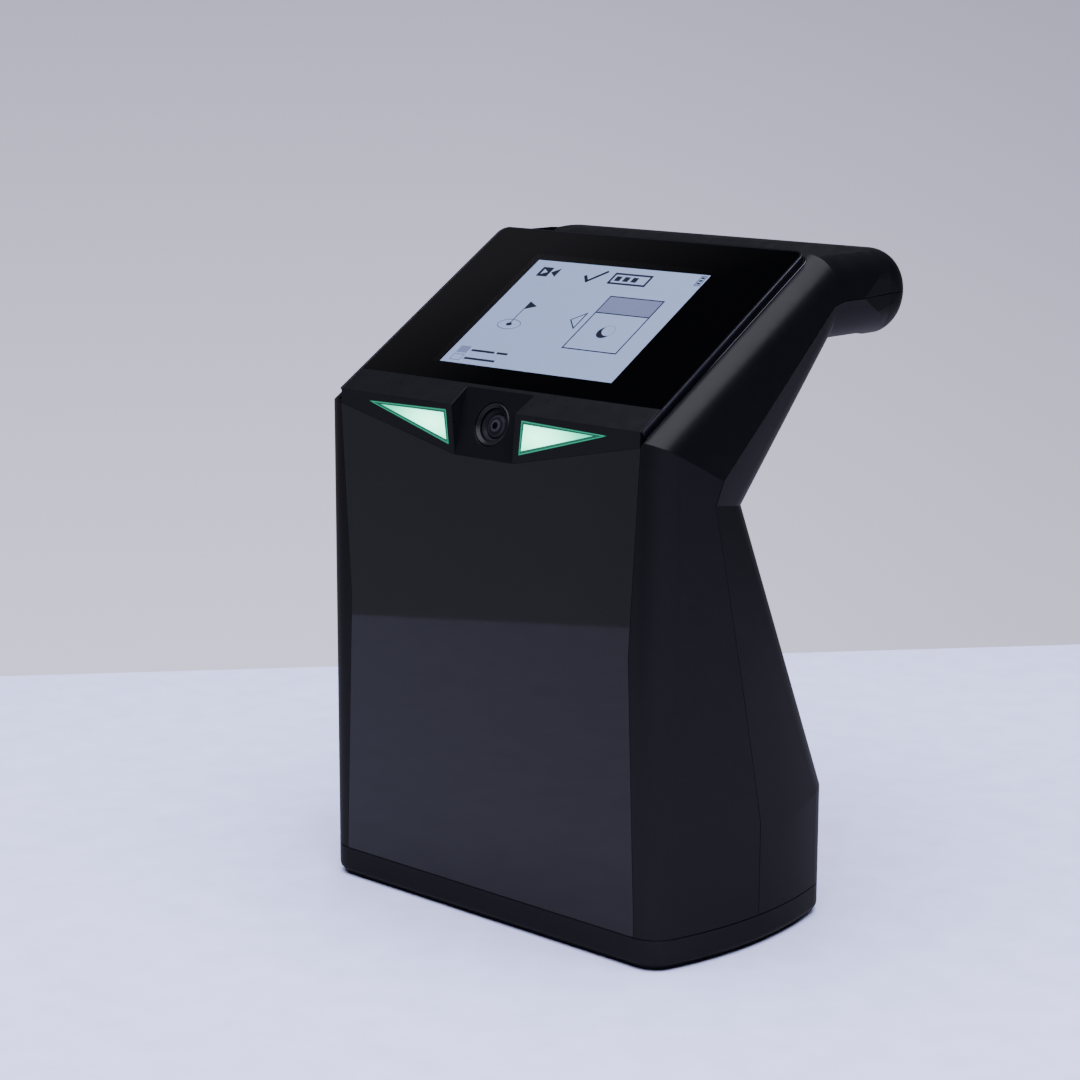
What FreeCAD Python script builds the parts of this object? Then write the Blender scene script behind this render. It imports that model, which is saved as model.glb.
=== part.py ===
"""Golf launch monitor: a waisted tower with a sloping display head and a tube handle.

Frame: millimetres, +Z up, +X to the viewer's right, -Y towards the golfer. The origin is the
centre of the tower's footprint on the surface that it stands on.

The outer form is one idea used eight times. A corner profile (flat face, round corner, long side
arc) is swept along each face of the side view, and neighbouring sweeps meet on mitre planes. The
same form, set in by the wall thickness, is the cavity. All of it is worked on the right half and
mirrored. "Depth" is the distance back from the tower's front face.
"""
import FreeCAD
import Part
import Sketcher
import math
import os
import re

from FreeCAD import Placement, Rotation, Vector

SIZES = {
    # tower plan
    "tower_depth": 100.0,
    "half_wide": 90.4,
    "side_radius": 144.0,
    "widest_depth": 50.0,
    "front_corner": 11.5,
    "rear_corner": 16.0,
    "wall": 2.2,
    # side view
    "sole_top": 1.6,
    "sole_inset": 2.8,
    "base_top": 11.5,
    "kink_height": 50.0,
    "waist_height": 160.0,
    "waist_depth": 51.0,
    "rear_lean": "=atan((tower_depth - waist_depth) / (waist_height - kink_height)) / 1 deg",
    "underside_angle": 48.4,
    "head_angle": 31.9,
    "head_edge_height": 187.42,
    "module_rise": 3.0,
    "seam_gap": 0.3,
    "lip_height": 3.0,
    "lip_wall": 1.2,
    # seam between the front and rear housings, where the two corner profiles cross
    "seam_depth": 48.5,
    "seam_bend_height": 46.4,
    "seam_waist_depth": 23.4,
    "seam_waist_height": 164.2,
    "seam_head_depth": 26.6,
    "seam_head_height": 172.6,
    "seam_elbow_depth": 91.2,
    "seam_elbow_height": 227.1,
    "seam_handle_depth": 96.6,
    # handle
    "handle_top": 244.6,
    "handle_low": 212.6,
    "handle_radius": 16.0,
    "bar_depth": 129.0,
    "handle_side_radius": 420.0,
    "handle_corner": 10.0,
    "handle_end_half": 82.9,
    "handle_end_corner": 11.5,
    "finger_half": 77.0,
    "finger_front": 92.0,
    # front window and bezel
    "window_low_half": 73.0,
    "window_waist_half": 69.2,
    "window_top_half": 73.9,
    "window_waist_height": 112.0,
    "window_top_height": 185.6,
    "notch_half": 14.5,
    "notch_height": 173.0,
    "window_thick": 2.0,
    "frame_ledge": 5.0,
    "frame_thick": 3.0,
    "bezel_half": 73.6,
    "chin_length": 12.4,
    "facet_lean": 21.0,
    "facet_low_half": 14.2,
    "facet_top_half": 17.0,
    "camera_block_half": 22.0,
    "camera_block_back": 12.0,
    # status lights
    "light_tip": 59.0,
    "light_tip_height": 188.0,
    "light_inner_top": 18.6,
    "light_inner_bottom": 17.2,
    "light_high": 189.0,
    "light_low": 176.2,
    "light_thick": 3.6,
    # display module, in its own plane
    "module_half": 74.6,
    "module_length": 104.3,
    "module_depth": 4.0,
    "module_corner": 4.0,
    "rim": 0.9,
    "glass_thick": 1.2,
    "panel_half": 46.4,
    "panel_start": 20.6,
    "panel_length": 71.0,
    "screen_half": 42.4,
    "screen_start": 23.6,
    "screen_length": 63.7,
    # aiming camera
    "camera_height": 185.0,
    "camera_radius": 8.0,
    "lens_radius": 4.6,
    # rear controls
    "control_height": 31.0,
    "button_place": -32.0,
    "button_radius": 7.0,
    "port_place": 30.0,
    "flap_wide": 24.0,
    "flap_tall": 11.4,
    "flap_thick": 2.0,
    # inside
    "chassis_depth": 14.0,
    "chassis_half": 60.0,
    "chassis_low": 20.0,
    "chassis_top": 160.0,
    "sheet_metal": 2.0,
    "board_thick": 1.6,
    "eye_place": 42.0,
    "eye_height": 138.0,
    "eye_size": 28.0,
    "screw_radius": 1.5,
    "screw_head": 2.8,
}

doc = FreeCAD.newDocument("launch_monitor")
sizes = doc.addObject("Spreadsheet::Sheet", "sizes")
for row, (alias, value) in enumerate(SIZES.items(), start=1):
    sizes.set(f"A{row}", alias)
    sizes.set(f"B{row}", str(value))
    sizes.setAlias(f"B{row}", alias)
doc.recompute()

nodes = {}
ALONG_X = Rotation(Vector(1, 1, 1), 120)
STAND_UP = Rotation(Vector(1, 0, 0), 90)
REACH = 600


def bound(text):
    """Turns plain size names into references to the sheet."""
    def swap(word):
        return f"sizes.{word[0]}" if word[0] in SIZES else word[0]

    return re.sub("[a-z_]+", swap, str(text))


def bind(thing, **expressions):
    for name, text in expressions.items():
        thing.setExpression(name.replace("__", "."), bound(text))
    return thing


def place(thing, spot=(0, 0, 0), turn=None):
    """Puts a thing at a spot of three expressions, turned by a fixed rotation."""
    thing.Placement = Placement(Vector(), turn or Rotation())
    for axis, text in zip("xyz", spot):
        thing.setExpression(f"Placement.Base.{axis}", bound(text))
    return thing


def tilt(thing, angle, spot):
    """Puts a thing at a spot, turned about X by an angle in degrees that is an expression."""
    thing.Placement = Placement(Vector(), Rotation(Vector(1, 0, 0), 45))
    thing.setExpression("Placement.Rotation.Angle", bound(angle))
    for axis, text in zip("xyz", spot):
        thing.setExpression(f"Placement.Base.{axis}", bound(text))
    return thing


def value_of(text):
    """The number that an expression comes to, for a sketch's first drawing."""
    number = sizes.evalExpression(bound(text))
    return float(getattr(number, "Value", number))


def box(name, size, spot):
    thing = doc.addObject("Part::Box", name)
    bind(thing, Length=size[0], Width=size[1], Height=size[2])
    return place(thing, spot)


def cylinder(name, radius, height, spot, turn=None):
    thing = doc.addObject("Part::Cylinder", name)
    bind(thing, Radius=radius, Height=height)
    return place(thing, spot, turn)


def fuse(name, things):
    thing = doc.addObject("Part::MultiFuse", name)
    thing.Shapes = things
    thing.Refine = True
    return thing


def common(name, things):
    thing = doc.addObject("Part::MultiCommon", name)
    thing.Shapes = things
    return thing


def cut(name, base, *tools):
    tool = tools[0] if len(tools) == 1 else fuse(name + "_tools", list(tools))
    thing = doc.addObject("Part::Cut", name)
    thing.Base = base
    thing.Tool = tool
    thing.Refine = True
    return thing


def mirrored(name, thing):
    """The thing and its mirror image in the middle plane, joined."""
    other = doc.addObject("Part::Mirroring", name + "_left")
    other.Source = thing
    other.Normal = Vector(1, 0, 0)
    return fuse(name, [thing, other])


def sketch_polygon(sketch, corners):
    """Draws a closed polygon whose corners are pairs of expressions, each one held to the sheet."""
    spots = [Vector(value_of(x), value_of(y), 0) for x, y in corners]
    count = len(spots)
    for index in range(count):
        sketch.addGeometry(Part.LineSegment(spots[index], spots[(index + 1) % count]))
    for index in range(count):
        sketch.addConstraint(Sketcher.Constraint("Coincident", index, 2, (index + 1) % count, 1))
    for index, corner in enumerate(corners):
        for axis, text, number in zip("XY", corner, spots[index]):
            held = Sketcher.Constraint("Distance" + axis, -1, 1, index, 1, number)
            place_in_list = sketch.addConstraint(held)
            sketch.setExpression(f"Constraints[{place_in_list}]", bound(text))
    return sketch


def extrude(name, sketch, length, both_ways=False):
    thing = doc.addObject("Part::Extrusion", name)
    thing.Base = sketch
    thing.DirMode = "Normal"
    thing.Solid = True
    thing.Symmetric = both_ways
    thing.setExpression("LengthFwd", bound(length))
    return thing


def polygon(name, corners, length, spot=(0, 0, 0), turn=None, both_ways=False):
    sketch = doc.addObject("Sketcher::SketchObject", name + "_outline")
    sketch_polygon(sketch, corners)
    place(sketch, spot, turn)
    return extrude(name, sketch, length, both_ways)


def side_polygon(name, corners, width=REACH):
    """A prism along X from an outline in depth and height."""
    shifted = [(f"{depth} - tower_depth / 2", height) for depth, height in corners]
    return polygon(name, shifted, width, turn=ALONG_X, both_ways=True)


def front_plate(name, corners, thick, depth):
    """A plate from an outline in X and Z, whose front is at the given depth."""
    sketch_spot = (0, f"{depth} + {thick} - tower_depth / 2", 0)
    return polygon(name, corners, thick, sketch_spot, STAND_UP)


def node(name, thing):
    thing.Label = name
    nodes[name] = thing
    return thing


# ---------------------------------------------------------------- outer form

def corner_sweep(name, angle, spot, inset, corner, radius="side_radius", widest="widest_depth"):
    """The right half of the corner profile, swept both ways along one face of the side view.

    The sketch's X is the row's X and its Y runs into the body, turned about X by the angle.
    """
    sketch = doc.addObject("Sketcher::SketchObject", name + "_profile")
    side = value_of(f"{radius} - {inset}")
    wide = value_of(f"half_wide - {inset}")
    bend = value_of(f"{corner} - {inset}")
    deep = value_of(f"{widest} - {inset}")
    centre = wide - side
    flat = centre + math.sqrt((side - bend) ** 2 - (deep - bend) ** 2)
    turn = math.atan2(bend - deep, flat - centre)
    far = 300.0
    up = Vector(0, 0, 1)
    bend_circle = Part.Circle(Vector(flat, bend, 0), up, bend)
    side_circle = Part.Circle(Vector(centre, deep, 0), up, side)
    sketch.addGeometry(Part.LineSegment(Vector(0, 0, 0), Vector(flat, 0, 0)))
    sketch.addGeometry(Part.ArcOfCircle(bend_circle, -math.pi / 2, turn))
    sketch.addGeometry(Part.ArcOfCircle(side_circle, turn, 0))
    sketch.addGeometry(Part.LineSegment(Vector(wide, deep, 0), Vector(wide, far, 0)))
    sketch.addGeometry(Part.LineSegment(Vector(wide, far, 0), Vector(0, far, 0)))
    sketch.addGeometry(Part.LineSegment(Vector(0, far, 0), Vector(0, 0, 0)))
    for first, second in ((0, 1), (1, 2), (2, 3)):
        sketch.addConstraint(Sketcher.Constraint("Tangent", first, 2, second, 1))
    for first, second in ((3, 4), (4, 5), (5, 0)):
        sketch.addConstraint(Sketcher.Constraint("Coincident", first, 2, second, 1))
    for line in (0, 4):
        sketch.addConstraint(Sketcher.Constraint("Horizontal", line))
    for line in (3, 5):
        sketch.addConstraint(Sketcher.Constraint("Vertical", line))
    sketch.addConstraint(Sketcher.Constraint("Coincident", 0, 1, -1, 1))
    sketch.addConstraint(Sketcher.Constraint("DistanceY", -1, 1, 4, 1, far))
    held = (
        (Sketcher.Constraint("Radius", 1, bend), f"{corner} - {inset}"),
        (Sketcher.Constraint("Radius", 2, side), f"{radius} - {inset}"),
        (Sketcher.Constraint("DistanceX", -1, 1, 3, 1, wide), f"half_wide - {inset}"),
        (Sketcher.Constraint("DistanceY", -1, 1, 3, 1, deep), f"{widest} - {inset}"),
    )
    for constraint, text in held:
        place_in_list = sketch.addConstraint(constraint)
        sketch.setExpression(f"Constraints[{place_in_list}]", bound(text))
    depth, height = spot
    inward = (
        0,
        f"{depth} - tower_depth / 2 + {inset} * cos(({angle}) * 1 deg)",
        f"{height} + {inset} * sin(({angle}) * 1 deg)",
    )
    tilt(sketch, angle, inward)
    return extrude(name, sketch, str(2 * REACH), both_ways=True)


def outer_form(name, inset):
    """The whole right half of the body, set in by the inset, from below the base upwards."""
    edge = ("0", "head_edge_height")
    waist = ("waist_depth", "waist_height")
    rear = ("tower_depth", "kink_height")
    front = corner_sweep(name + "_front", "360", ("0", "0"), inset, "front_corner")
    back = corner_sweep(name + "_back", "180", rear, inset, "rear_corner")
    lean = corner_sweep(name + "_lean", "180 + rear_lean", rear, inset, "rear_corner")
    slope = corner_sweep(name + "_slope", "head_angle - 90", edge, inset, "front_corner")
    top = corner_sweep(name + "_top", "-90", ("0", "handle_top"), inset, "front_corner")
    under = corner_sweep(name + "_under", "90 + underside_angle", waist, inset, "rear_corner")
    low = corner_sweep(name + "_low", "90", ("0", "handle_low"), inset, "rear_corner")
    tail = corner_sweep(name + "_tail", "180", ("bar_depth + handle_radius", "0"), inset,
                        "handle_corner", "handle_side_radius",
                        "bar_depth + handle_radius - widest_depth")
    tower_side = side_polygon(name + "_tower_side", [
        ("-10", "-20"), ("200", "-20"), ("200", waist_mitre("200")), ("-10", waist_mitre("-10"))])
    head_side = side_polygon(name + "_head_side", [
        ("-10", waist_mitre("-10")), ("waist_depth + 20", waist_mitre("waist_depth + 20")),
        (elbow_mitre("handle_low - 20"), "handle_low - 20"),
        (elbow_mitre("handle_top + 20"), "handle_top + 20"), ("-10", "handle_top + 20")])
    tower = common(name + "_tower", [front, back, lean, tower_side])
    head = common(name + "_head", [front, slope, top, under, tail, head_side])
    ahead, end = handle_rounding(name, inset)
    handle = common(name + "_handle", [slope, top, low, tail, handle_block(name), ahead])
    body = fuse(name + "_blank", [tower, head, handle])
    hole = box(name + "_finger_gap",
               (f"finger_half + {inset}", f"bar_depth - finger_front + {inset}", "100"),
               (0, f"finger_front - {inset} - tower_depth / 2", "180"))
    bar = cylinder(name + "_bar", f"handle_radius - {inset}", f"finger_half + {inset} + 1",
                   (0, "bar_depth - tower_depth / 2", "handle_low + handle_radius"),
                   Rotation(Vector(0, 1, 0), 90))
    bar_in_form = common(name + "_bar_in_form", [bar, slope, top, low, tail, ahead])
    end_in_form = common(name + "_end_in_form", [end, top, low])
    return fuse(name, [cut(name + "_open", body, hole), bar_in_form, end_in_form])


def waist_mitre(depth):
    """Height, at a depth, of the plane that halves the angle between the waist's two faces."""
    slope = "tan((90 - underside_angle - rear_lean) / 2 * 1 deg)"
    return f"waist_height + (waist_depth - ({depth})) * {slope}"


def elbow_mitre(height):
    """Depth, at a height, of the plane that halves the angle between underside and handle."""
    elbow = "waist_depth + (handle_low - waist_height) / tan(underside_angle * 1 deg)"
    return f"{elbow} - ({height} - handle_low) * tan(underside_angle / 2 * 1 deg)"


def handle_block(name):
    """The side view of the handle, from the elbow to the axis of its tube."""
    return side_polygon(name + "_handle_block", [
        (elbow_mitre("handle_low - 20"), "handle_low - 20"), ("bar_depth", "handle_low - 20"),
        ("bar_depth", "handle_top + 20"), (elbow_mitre("handle_top + 20"), "handle_top + 20")])


def end_profile(name, inset):
    """Half of the tube's outline seen from the rear, above its axis, with the end's corner."""
    sketch = doc.addObject("Sketcher::SketchObject", name)
    far = value_of(f"handle_end_half - {inset}")
    radius = value_of(f"handle_radius - {inset}")
    bend = value_of(f"handle_end_corner - {inset}")
    corner = Part.Circle(Vector(far - bend, radius - bend, 0), Vector(0, 0, 1), bend)
    spots = [Vector(far - bend, radius, 0), Vector(0, radius, 0), Vector(0, 0, 0),
             Vector(far, 0, 0), Vector(far, radius - bend, 0)]
    for start, end in zip(spots, spots[1:]):
        sketch.addGeometry(Part.LineSegment(start, end))
    sketch.addGeometry(Part.ArcOfCircle(corner, 0, math.pi / 2))
    for first, second in ((0, 1), (1, 2), (2, 3)):
        sketch.addConstraint(Sketcher.Constraint("Coincident", first, 2, second, 1))
    sketch.addConstraint(Sketcher.Constraint("Tangent", 3, 2, 4, 1))
    sketch.addConstraint(Sketcher.Constraint("Tangent", 4, 2, 0, 1))
    for line in (0, 2):
        sketch.addConstraint(Sketcher.Constraint("Horizontal", line))
    for line in (1, 3):
        sketch.addConstraint(Sketcher.Constraint("Vertical", line))
    sketch.addConstraint(Sketcher.Constraint("Coincident", 1, 2, -1, 1))
    held = (
        (Sketcher.Constraint("Radius", 4, bend), f"handle_end_corner - {inset}"),
        (Sketcher.Constraint("DistanceX", -1, 1, 2, 2, far), f"handle_end_half - {inset}"),
        (Sketcher.Constraint("DistanceY", -1, 1, 0, 2, radius), f"handle_radius - {inset}"),
    )
    for constraint, text in held:
        place_in_list = sketch.addConstraint(constraint)
        sketch.setExpression(f"Constraints[{place_in_list}]", bound(text))
    return place(sketch, TUBE_AXIS, STAND_UP)


TUBE_AXIS = ("0", "bar_depth - tower_depth / 2", "handle_low + handle_radius")
END_REACH = 75


def handle_rounding(name, inset):
    """The room that the handle may fill ahead of its tube's axis, and the tube's rounded rear.

    Both have the same outline at the axis. Ahead of it, that outline widens with the handle's side.
    """
    profile = end_profile(name + "_end_profile", inset)
    end = doc.addObject("Part::Revolution", name + "_end_turned")
    end.Source = profile
    end.Axis = Vector(-1, 0, 0)
    end.Angle = 180
    end.Solid = True
    bind(end, Base__y=TUBE_AXIS[1], Base__z=TUBE_AXIS[2])
    upper = doc.addObject("Part::Extrusion", name + "_ahead_upper")
    upper.Base = profile
    upper.DirMode = "Custom"
    upper.Dir = Vector(0.19, -0.98, 0)
    upper.Solid = True
    slant = "asin((bar_depth - tower_depth / 2) / handle_side_radius)"
    bind(upper, Dir__x=f"sin({slant})", Dir__y=f"0 - cos({slant})", LengthFwd=END_REACH)
    lower = doc.addObject("Part::Mirroring", name + "_ahead_lower")
    lower.Source = upper
    lower.Normal = Vector(0, 0, 1)
    bind(lower, Base__z=TUBE_AXIS[2])
    inner = box(name + "_ahead_inner",
                ("60", str(END_REACH), f"2 * (handle_radius - {inset})"),
                ("0 - 20", f"{TUBE_AXIS[1]} - {END_REACH}", f"handle_low + {inset}"))
    before = side_polygon(name + "_ahead_block", [
        ("0 - 20", "handle_low - 60"), (f"bar_depth - {END_REACH} + 5", "handle_low - 60"),
        (f"bar_depth - {END_REACH} + 5", "handle_top + 20"), ("0 - 20", "handle_top + 20")])
    return fuse(name + "_ahead", [upper, lower, inner, before]), end


# ---------------------------------------------------------------- frames of reference

BACK = "- tower_depth / 2"
GLASS_EDGE = "head_edge_height + module_rise / cos(head_angle * 1 deg)"


def on_display(thing, along, rise, across="0"):
    """Lays a thing on the display plane: Y runs up the slope and Z stands out of the glass."""
    turn = "head_angle"
    spot = (
        across,
        f"0 {BACK} + ({along}) * cos({turn} * 1 deg) - ({rise}) * sin({turn} * 1 deg)",
        f"{GLASS_EDGE} + ({along}) * sin({turn} * 1 deg) + ({rise}) * cos({turn} * 1 deg)",
    )
    return tilt(thing, turn, spot)


def display_box(name, half, start, length, low, thick):
    """A slab centred on the middle plane, lying on the display plane."""
    slab = doc.addObject("Part::Box", name)
    bind(slab, Length=f"2 * ({half})", Width=length, Height=thick)
    return on_display(slab, start, low, f"0 - ({half})")


def display_plate(name, half, start, length, low, thick, corner):
    """A slab on the display plane whose two upper corners are rounded."""
    end = f"({start}) + ({length}) - ({corner})"
    parts = [display_box(name + "_wide", half, start, f"{length} - ({corner})", low, thick),
             display_box(name + "_long", f"{half} - ({corner})", start, length, low, thick)]
    for side, sign in (("left", "-1"), ("right", "1")):
        round_corner = doc.addObject("Part::Cylinder", f"{name}_corner_{side}")
        bind(round_corner, Radius=corner, Height=thick)
        parts.append(on_display(round_corner, end, low, f"{sign} * ({half} - ({corner}))"))
    return fuse(name, parts)


def on_facet(thing, rise, up="0"):
    """Sets a thing on the camera facet at the camera's centre, with Z out of the facet."""
    lean = "facet_lean"
    out = f"({rise})"
    spot = (
        "0",
        f"(camera_height - notch_height) * tan({lean} * 1 deg) {BACK}"
        f" - {out} * cos({lean} * 1 deg) + ({up}) * sin({lean} * 1 deg)",
        f"camera_height + {out} * sin({lean} * 1 deg) + ({up}) * cos({lean} * 1 deg)",
    )
    return tilt(thing, "90 - facet_lean", spot)


def facet_cylinder(name, radius, low, height):
    thing = doc.addObject("Part::Cylinder", name)
    bind(thing, Radius=radius, Height=height)
    return on_facet(thing, low)


def rod(name, radius, start, length, across, height):
    """A cylinder along the depth, from a starting depth backwards."""
    return cylinder(name, radius, length, (across, f"{start} {BACK}", height),
                    Rotation(Vector(1, 0, 0), -90))


def slab(name, across, start, low, size):
    """A box given by its lowest corner in X, depth and Z."""
    return box(name, size, (across, f"{start} {BACK}", low))


def revolved_body(name, profile, spot, turn=None, on_camera=None):
    """A PartDesign body turned about its own Z axis from a closed half profile (radius, height)."""
    body = doc.addObject("PartDesign::Body", name)
    sketch = body.newObject("Sketcher::SketchObject", name + "_profile")
    plane = next(f for f in body.Origin.OriginFeatures if f.Role == "XZ_Plane")
    sketch.AttachmentSupport = [(plane, "")]
    sketch.MapMode = "FlatFace"
    sketch_polygon(sketch, profile)
    turned = body.newObject("PartDesign::Revolution", name + "_turned")
    turned.Profile = sketch
    turned.ReferenceAxis = (sketch, ["V_Axis"])
    turned.Angle = 360
    body.Tip = turned
    if on_camera is not None:
        return on_facet(body, on_camera)
    return place(body, spot, turn)


def screw(name, spot, shank, turn=None):
    """A pan-head screw along its own +Z, with its head below the spot and a hex socket."""
    profile = [("0", "-1"), ("1", "-1"), ("1", "-2"), ("screw_head - 0.6", "-2"),
               ("screw_head", "-1.4"), ("screw_head", "0"), ("screw_radius - 0.05", "0"),
               ("screw_radius - 0.05", shank), ("0", shank)]
    return revolved_body(name, profile, spot, turn)


def group(name, things):
    bundle = doc.addObject("Part::Compound", name)
    bundle.Links = things
    return node(name, bundle)


# ---------------------------------------------------------------- housings

outer = outer_form("outer", "0")
cavity = outer_form("cavity", "wall")
lip_form = outer_form("lip_form", "(wall + lip_wall)")
shell = cut("shell", outer, cavity)

SEAM = [
    ("seam_depth", "seam_bend_height"), ("seam_waist_depth", "seam_waist_height"),
    ("seam_head_depth", "seam_head_height"), ("seam_elbow_depth", "seam_elbow_height"),
    ("seam_handle_depth", "handle_low + handle_radius"), ("200", "handle_low + handle_radius"),
]


def seam_line(ahead, below, floor):
    """The seam in the side view, moved back by one amount and down by another."""
    moved = [(f"seam_depth + ({ahead})", floor)]
    moved += [(f"{depth} + ({ahead})", f"{height} - ({below})") for depth, height in SEAM]
    return moved


HOUSING_FLOOR = "base_top + seam_gap"
front_zone = side_polygon("front_zone", [
    ("-10", HOUSING_FLOOR), *seam_line("0", "0", HOUSING_FLOOR), ("200", "300"), ("-10", "300")])
rear_zone = side_polygon("rear_zone", [
    *seam_line("seam_gap", "seam_gap", HOUSING_FLOOR), ("200", HOUSING_FLOOR)])
lip_zone = side_polygon("lip_zone", [
    *seam_line("0 - lip_height", "0 - lip_height", HOUSING_FLOOR),
    *reversed(seam_line("2", "2", HOUSING_FLOOR))])

screw_boss_places = {"front": ("77", "18"), "rear": ("76", "84")}


def base_boss(name, where):
    """The post that a base screw bites into, tied to the side wall by a rib."""
    across, depth = screw_boss_places[where]
    post = cylinder(name + "_post", "4", "15", (across, f"{depth} {BACK}", HOUSING_FLOOR))
    rib = slab(name + "_rib", across, f"{depth} - 1.2", HOUSING_FLOOR, ("20", "2.4", "15"))
    return common(name + "_boss", [fuse(name + "_boss_blank", [post, rib]), outer])


def base_boss_hole(name, where):
    across, depth = screw_boss_places[where]
    return cylinder(name, "screw_radius", "12", (across, f"{depth} {BACK}", "base_top - 1"))


def window_outline(shrink):
    """The window's eight corners in X and Z, all moved in by one amount."""
    low = f"base_top + seam_gap + {shrink}"
    return [
        (f"0 - window_low_half + {shrink}", low), (f"window_low_half - {shrink}", low),
        (f"window_waist_half - {shrink}", "window_waist_height"),
        (f"window_top_half - {shrink}", f"window_top_height - {shrink} * 1.2"),
        ("notch_half", f"notch_height - {shrink}"), ("0 - notch_half", f"notch_height - {shrink}"),
        (f"0 - window_top_half + {shrink}", f"window_top_height - {shrink} * 1.2"),
        (f"0 - window_waist_half + {shrink}", "window_waist_height"),
    ]


def light_outline(sign, shrink="0"):
    """The wedge of a status light, its point outwards, on the side given by the sign."""
    corners = [
        (f"light_tip - 4 * ({shrink})", f"light_tip_height - {shrink}"),
        (f"light_inner_top + {shrink}", f"light_high - {shrink}"),
        (f"light_inner_bottom + {shrink}", f"light_low + 1.4 * ({shrink})"),
    ]
    return [(f"{sign} * ({across})", height) for across, height in corners]


HALF_SEAM = "seam_gap / 2"
front_opening = front_plate("front_opening", [
    ("-80", "0"), (f"window_low_half + {HALF_SEAM}", "0"),
    (f"window_low_half + {HALF_SEAM}", "base_top + seam_gap"),
    (f"window_waist_half + {HALF_SEAM}", "window_waist_height"),
    (f"window_top_half + {HALF_SEAM}", "window_top_height"),
    (f"window_top_half + {HALF_SEAM}", "220"), ("-80", "220")], "wall + 2", "-1")
module_pocket = display_plate("module_pocket", "module_half + 0.4", "-12",
                              "module_length + 12.4", "0 - module_depth", "30",
                              "module_corner + 0.4")
display_opening = display_box("display_opening", "66", "14", "84", "-20", "30")

handle_post_low = cylinder("handle_post_low", "4.5", "handle_radius - seam_gap",
                           ("60", f"bar_depth {BACK}", "handle_low"))
handle_post_high = common("handle_post_high", [cylinder(
    "handle_post_high_rod", "4", "handle_radius",
    ("60", f"bar_depth {BACK}", "handle_low + handle_radius")), outer])
handle_hole = cylinder("handle_hole", "screw_radius", "24", ("60", f"bar_depth {BACK}", "214"))
handle_counterbore = cylinder("handle_counterbore", "screw_head + 0.3", "8",
                              ("60", f"bar_depth {BACK}", "208"))

front_skin = common("front_skin", [shell, front_zone])
front_solid = fuse("front_solid", [front_skin, base_boss("front", "front"), handle_post_high])
camera_room = slab("camera_room", "-30", "-1", "notch_height",
                   ("camera_block_half + 30.2", "camera_block_back + 1.2", "60"))
front_half = cut("front_half", front_solid, front_opening, module_pocket, display_opening,
                 camera_room, front_plate("light_room", light_outline("1", "-0.4"), "8", "-1"),
                 base_boss_hole("front_hole", "front"), handle_hole)
node("front_housing", mirrored("front_housing", front_half))

lip = common("lip", [cut("lip_ring", cavity, lip_form), lip_zone])
rear_skin = common("rear_skin", [shell, rear_zone])
handle_tower = common("handle_tower", [handle_post_low, outer])
board_posts = [rod(f"board_post_{index}", "2.5", "88", "10.5", across, "control_height")
               for index, across in enumerate(("-10", "8"))]
port_pad = slab("port_pad", "port_place - 16", "94", "control_height - 10", ("32", "4", "20"))
rear_half = cut("rear_half", fuse("rear_solid", [rear_skin, lip, base_boss("rear", "rear"),
                                                 handle_tower]),
                base_boss_hole("rear_hole", "rear"), handle_hole, handle_counterbore)
rear_whole = fuse("rear_whole", [mirrored("rear_pair", rear_half), port_pad, *board_posts])
button_bore = rod("button_bore", "button_radius", "90", "20", "button_place", "control_height")
flap_pocket = slab("flap_pocket", "port_place - flap_wide / 2 - 0.2", "tower_depth - 2.1",
                   "control_height - flap_tall / 2 - 0.2",
                   ("flap_wide + 0.4", "10", "flap_tall + 0.4"))
PORT_LONG = "8.94"
PORT_TALL = "3.26"


def port_block(name, grow, start, length):
    """A stadium-shaped bar for the charging socket, grown by an amount all round."""
    radius = f"({PORT_TALL}) / 2 + {grow}"
    offset = f"({PORT_LONG} - {PORT_TALL}) / 2"
    ends = [rod(f"{name}_end_{side}", radius, start, length, f"port_place + {sign} * {offset}",
                "control_height") for side, sign in (("left", "-1"), ("right", "1"))]
    middle = slab(name + "_middle", f"port_place - {offset}", start,
                  f"control_height - ({radius})",
                  (f"2 * {offset}", length, f"2 * ({radius})"))
    return fuse(name, [*ends, middle])


HINGE_HEIGHT = "control_height - flap_tall / 2 + flap_thick / 2"
HINGE_DEPTH = "tower_depth - flap_thick / 2"
pin_hole = cylinder("pin_hole", "0.5", "flap_wide + 4",
                    ("port_place - flap_wide / 2 - 2", f"{HINGE_DEPTH} {BACK}", HINGE_HEIGHT),
                    Rotation(Vector(0, 1, 0), 90))
node("rear_housing", cut("rear_housing", rear_whole, button_bore, flap_pocket,
                         port_block("port_hole", "0.15", "90", "20"), pin_hole))

# ---------------------------------------------------------------- base


def plan_slab(name, low, thick, inset):
    """The tower's plan, set in, as a flat slab between two heights, right half."""
    front = corner_sweep(name + "_front", "360", ("0", "0"), inset, "front_corner")
    back = corner_sweep(name + "_back", "180", ("tower_depth", "0"), inset, "rear_corner")
    layer = slab(name + "_layer", "-1", "-1", low, ("120", "102", thick))
    return common(name, [front, back, layer])


def rounded_bottom(name, thing, radius):
    """Rounds the lowest edges of a thing."""
    doc.recompute()
    lowest = thing.Shape.BoundBox.ZMin
    edges = [index for index, edge in enumerate(thing.Shape.Edges, start=1)
             if edge.BoundBox.ZMax < lowest + 0.01]
    rounded = doc.addObject("Part::Fillet", name)
    rounded.Base = thing
    rounded.Edges = [(index, radius, radius) for index in edges]
    return rounded


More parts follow.
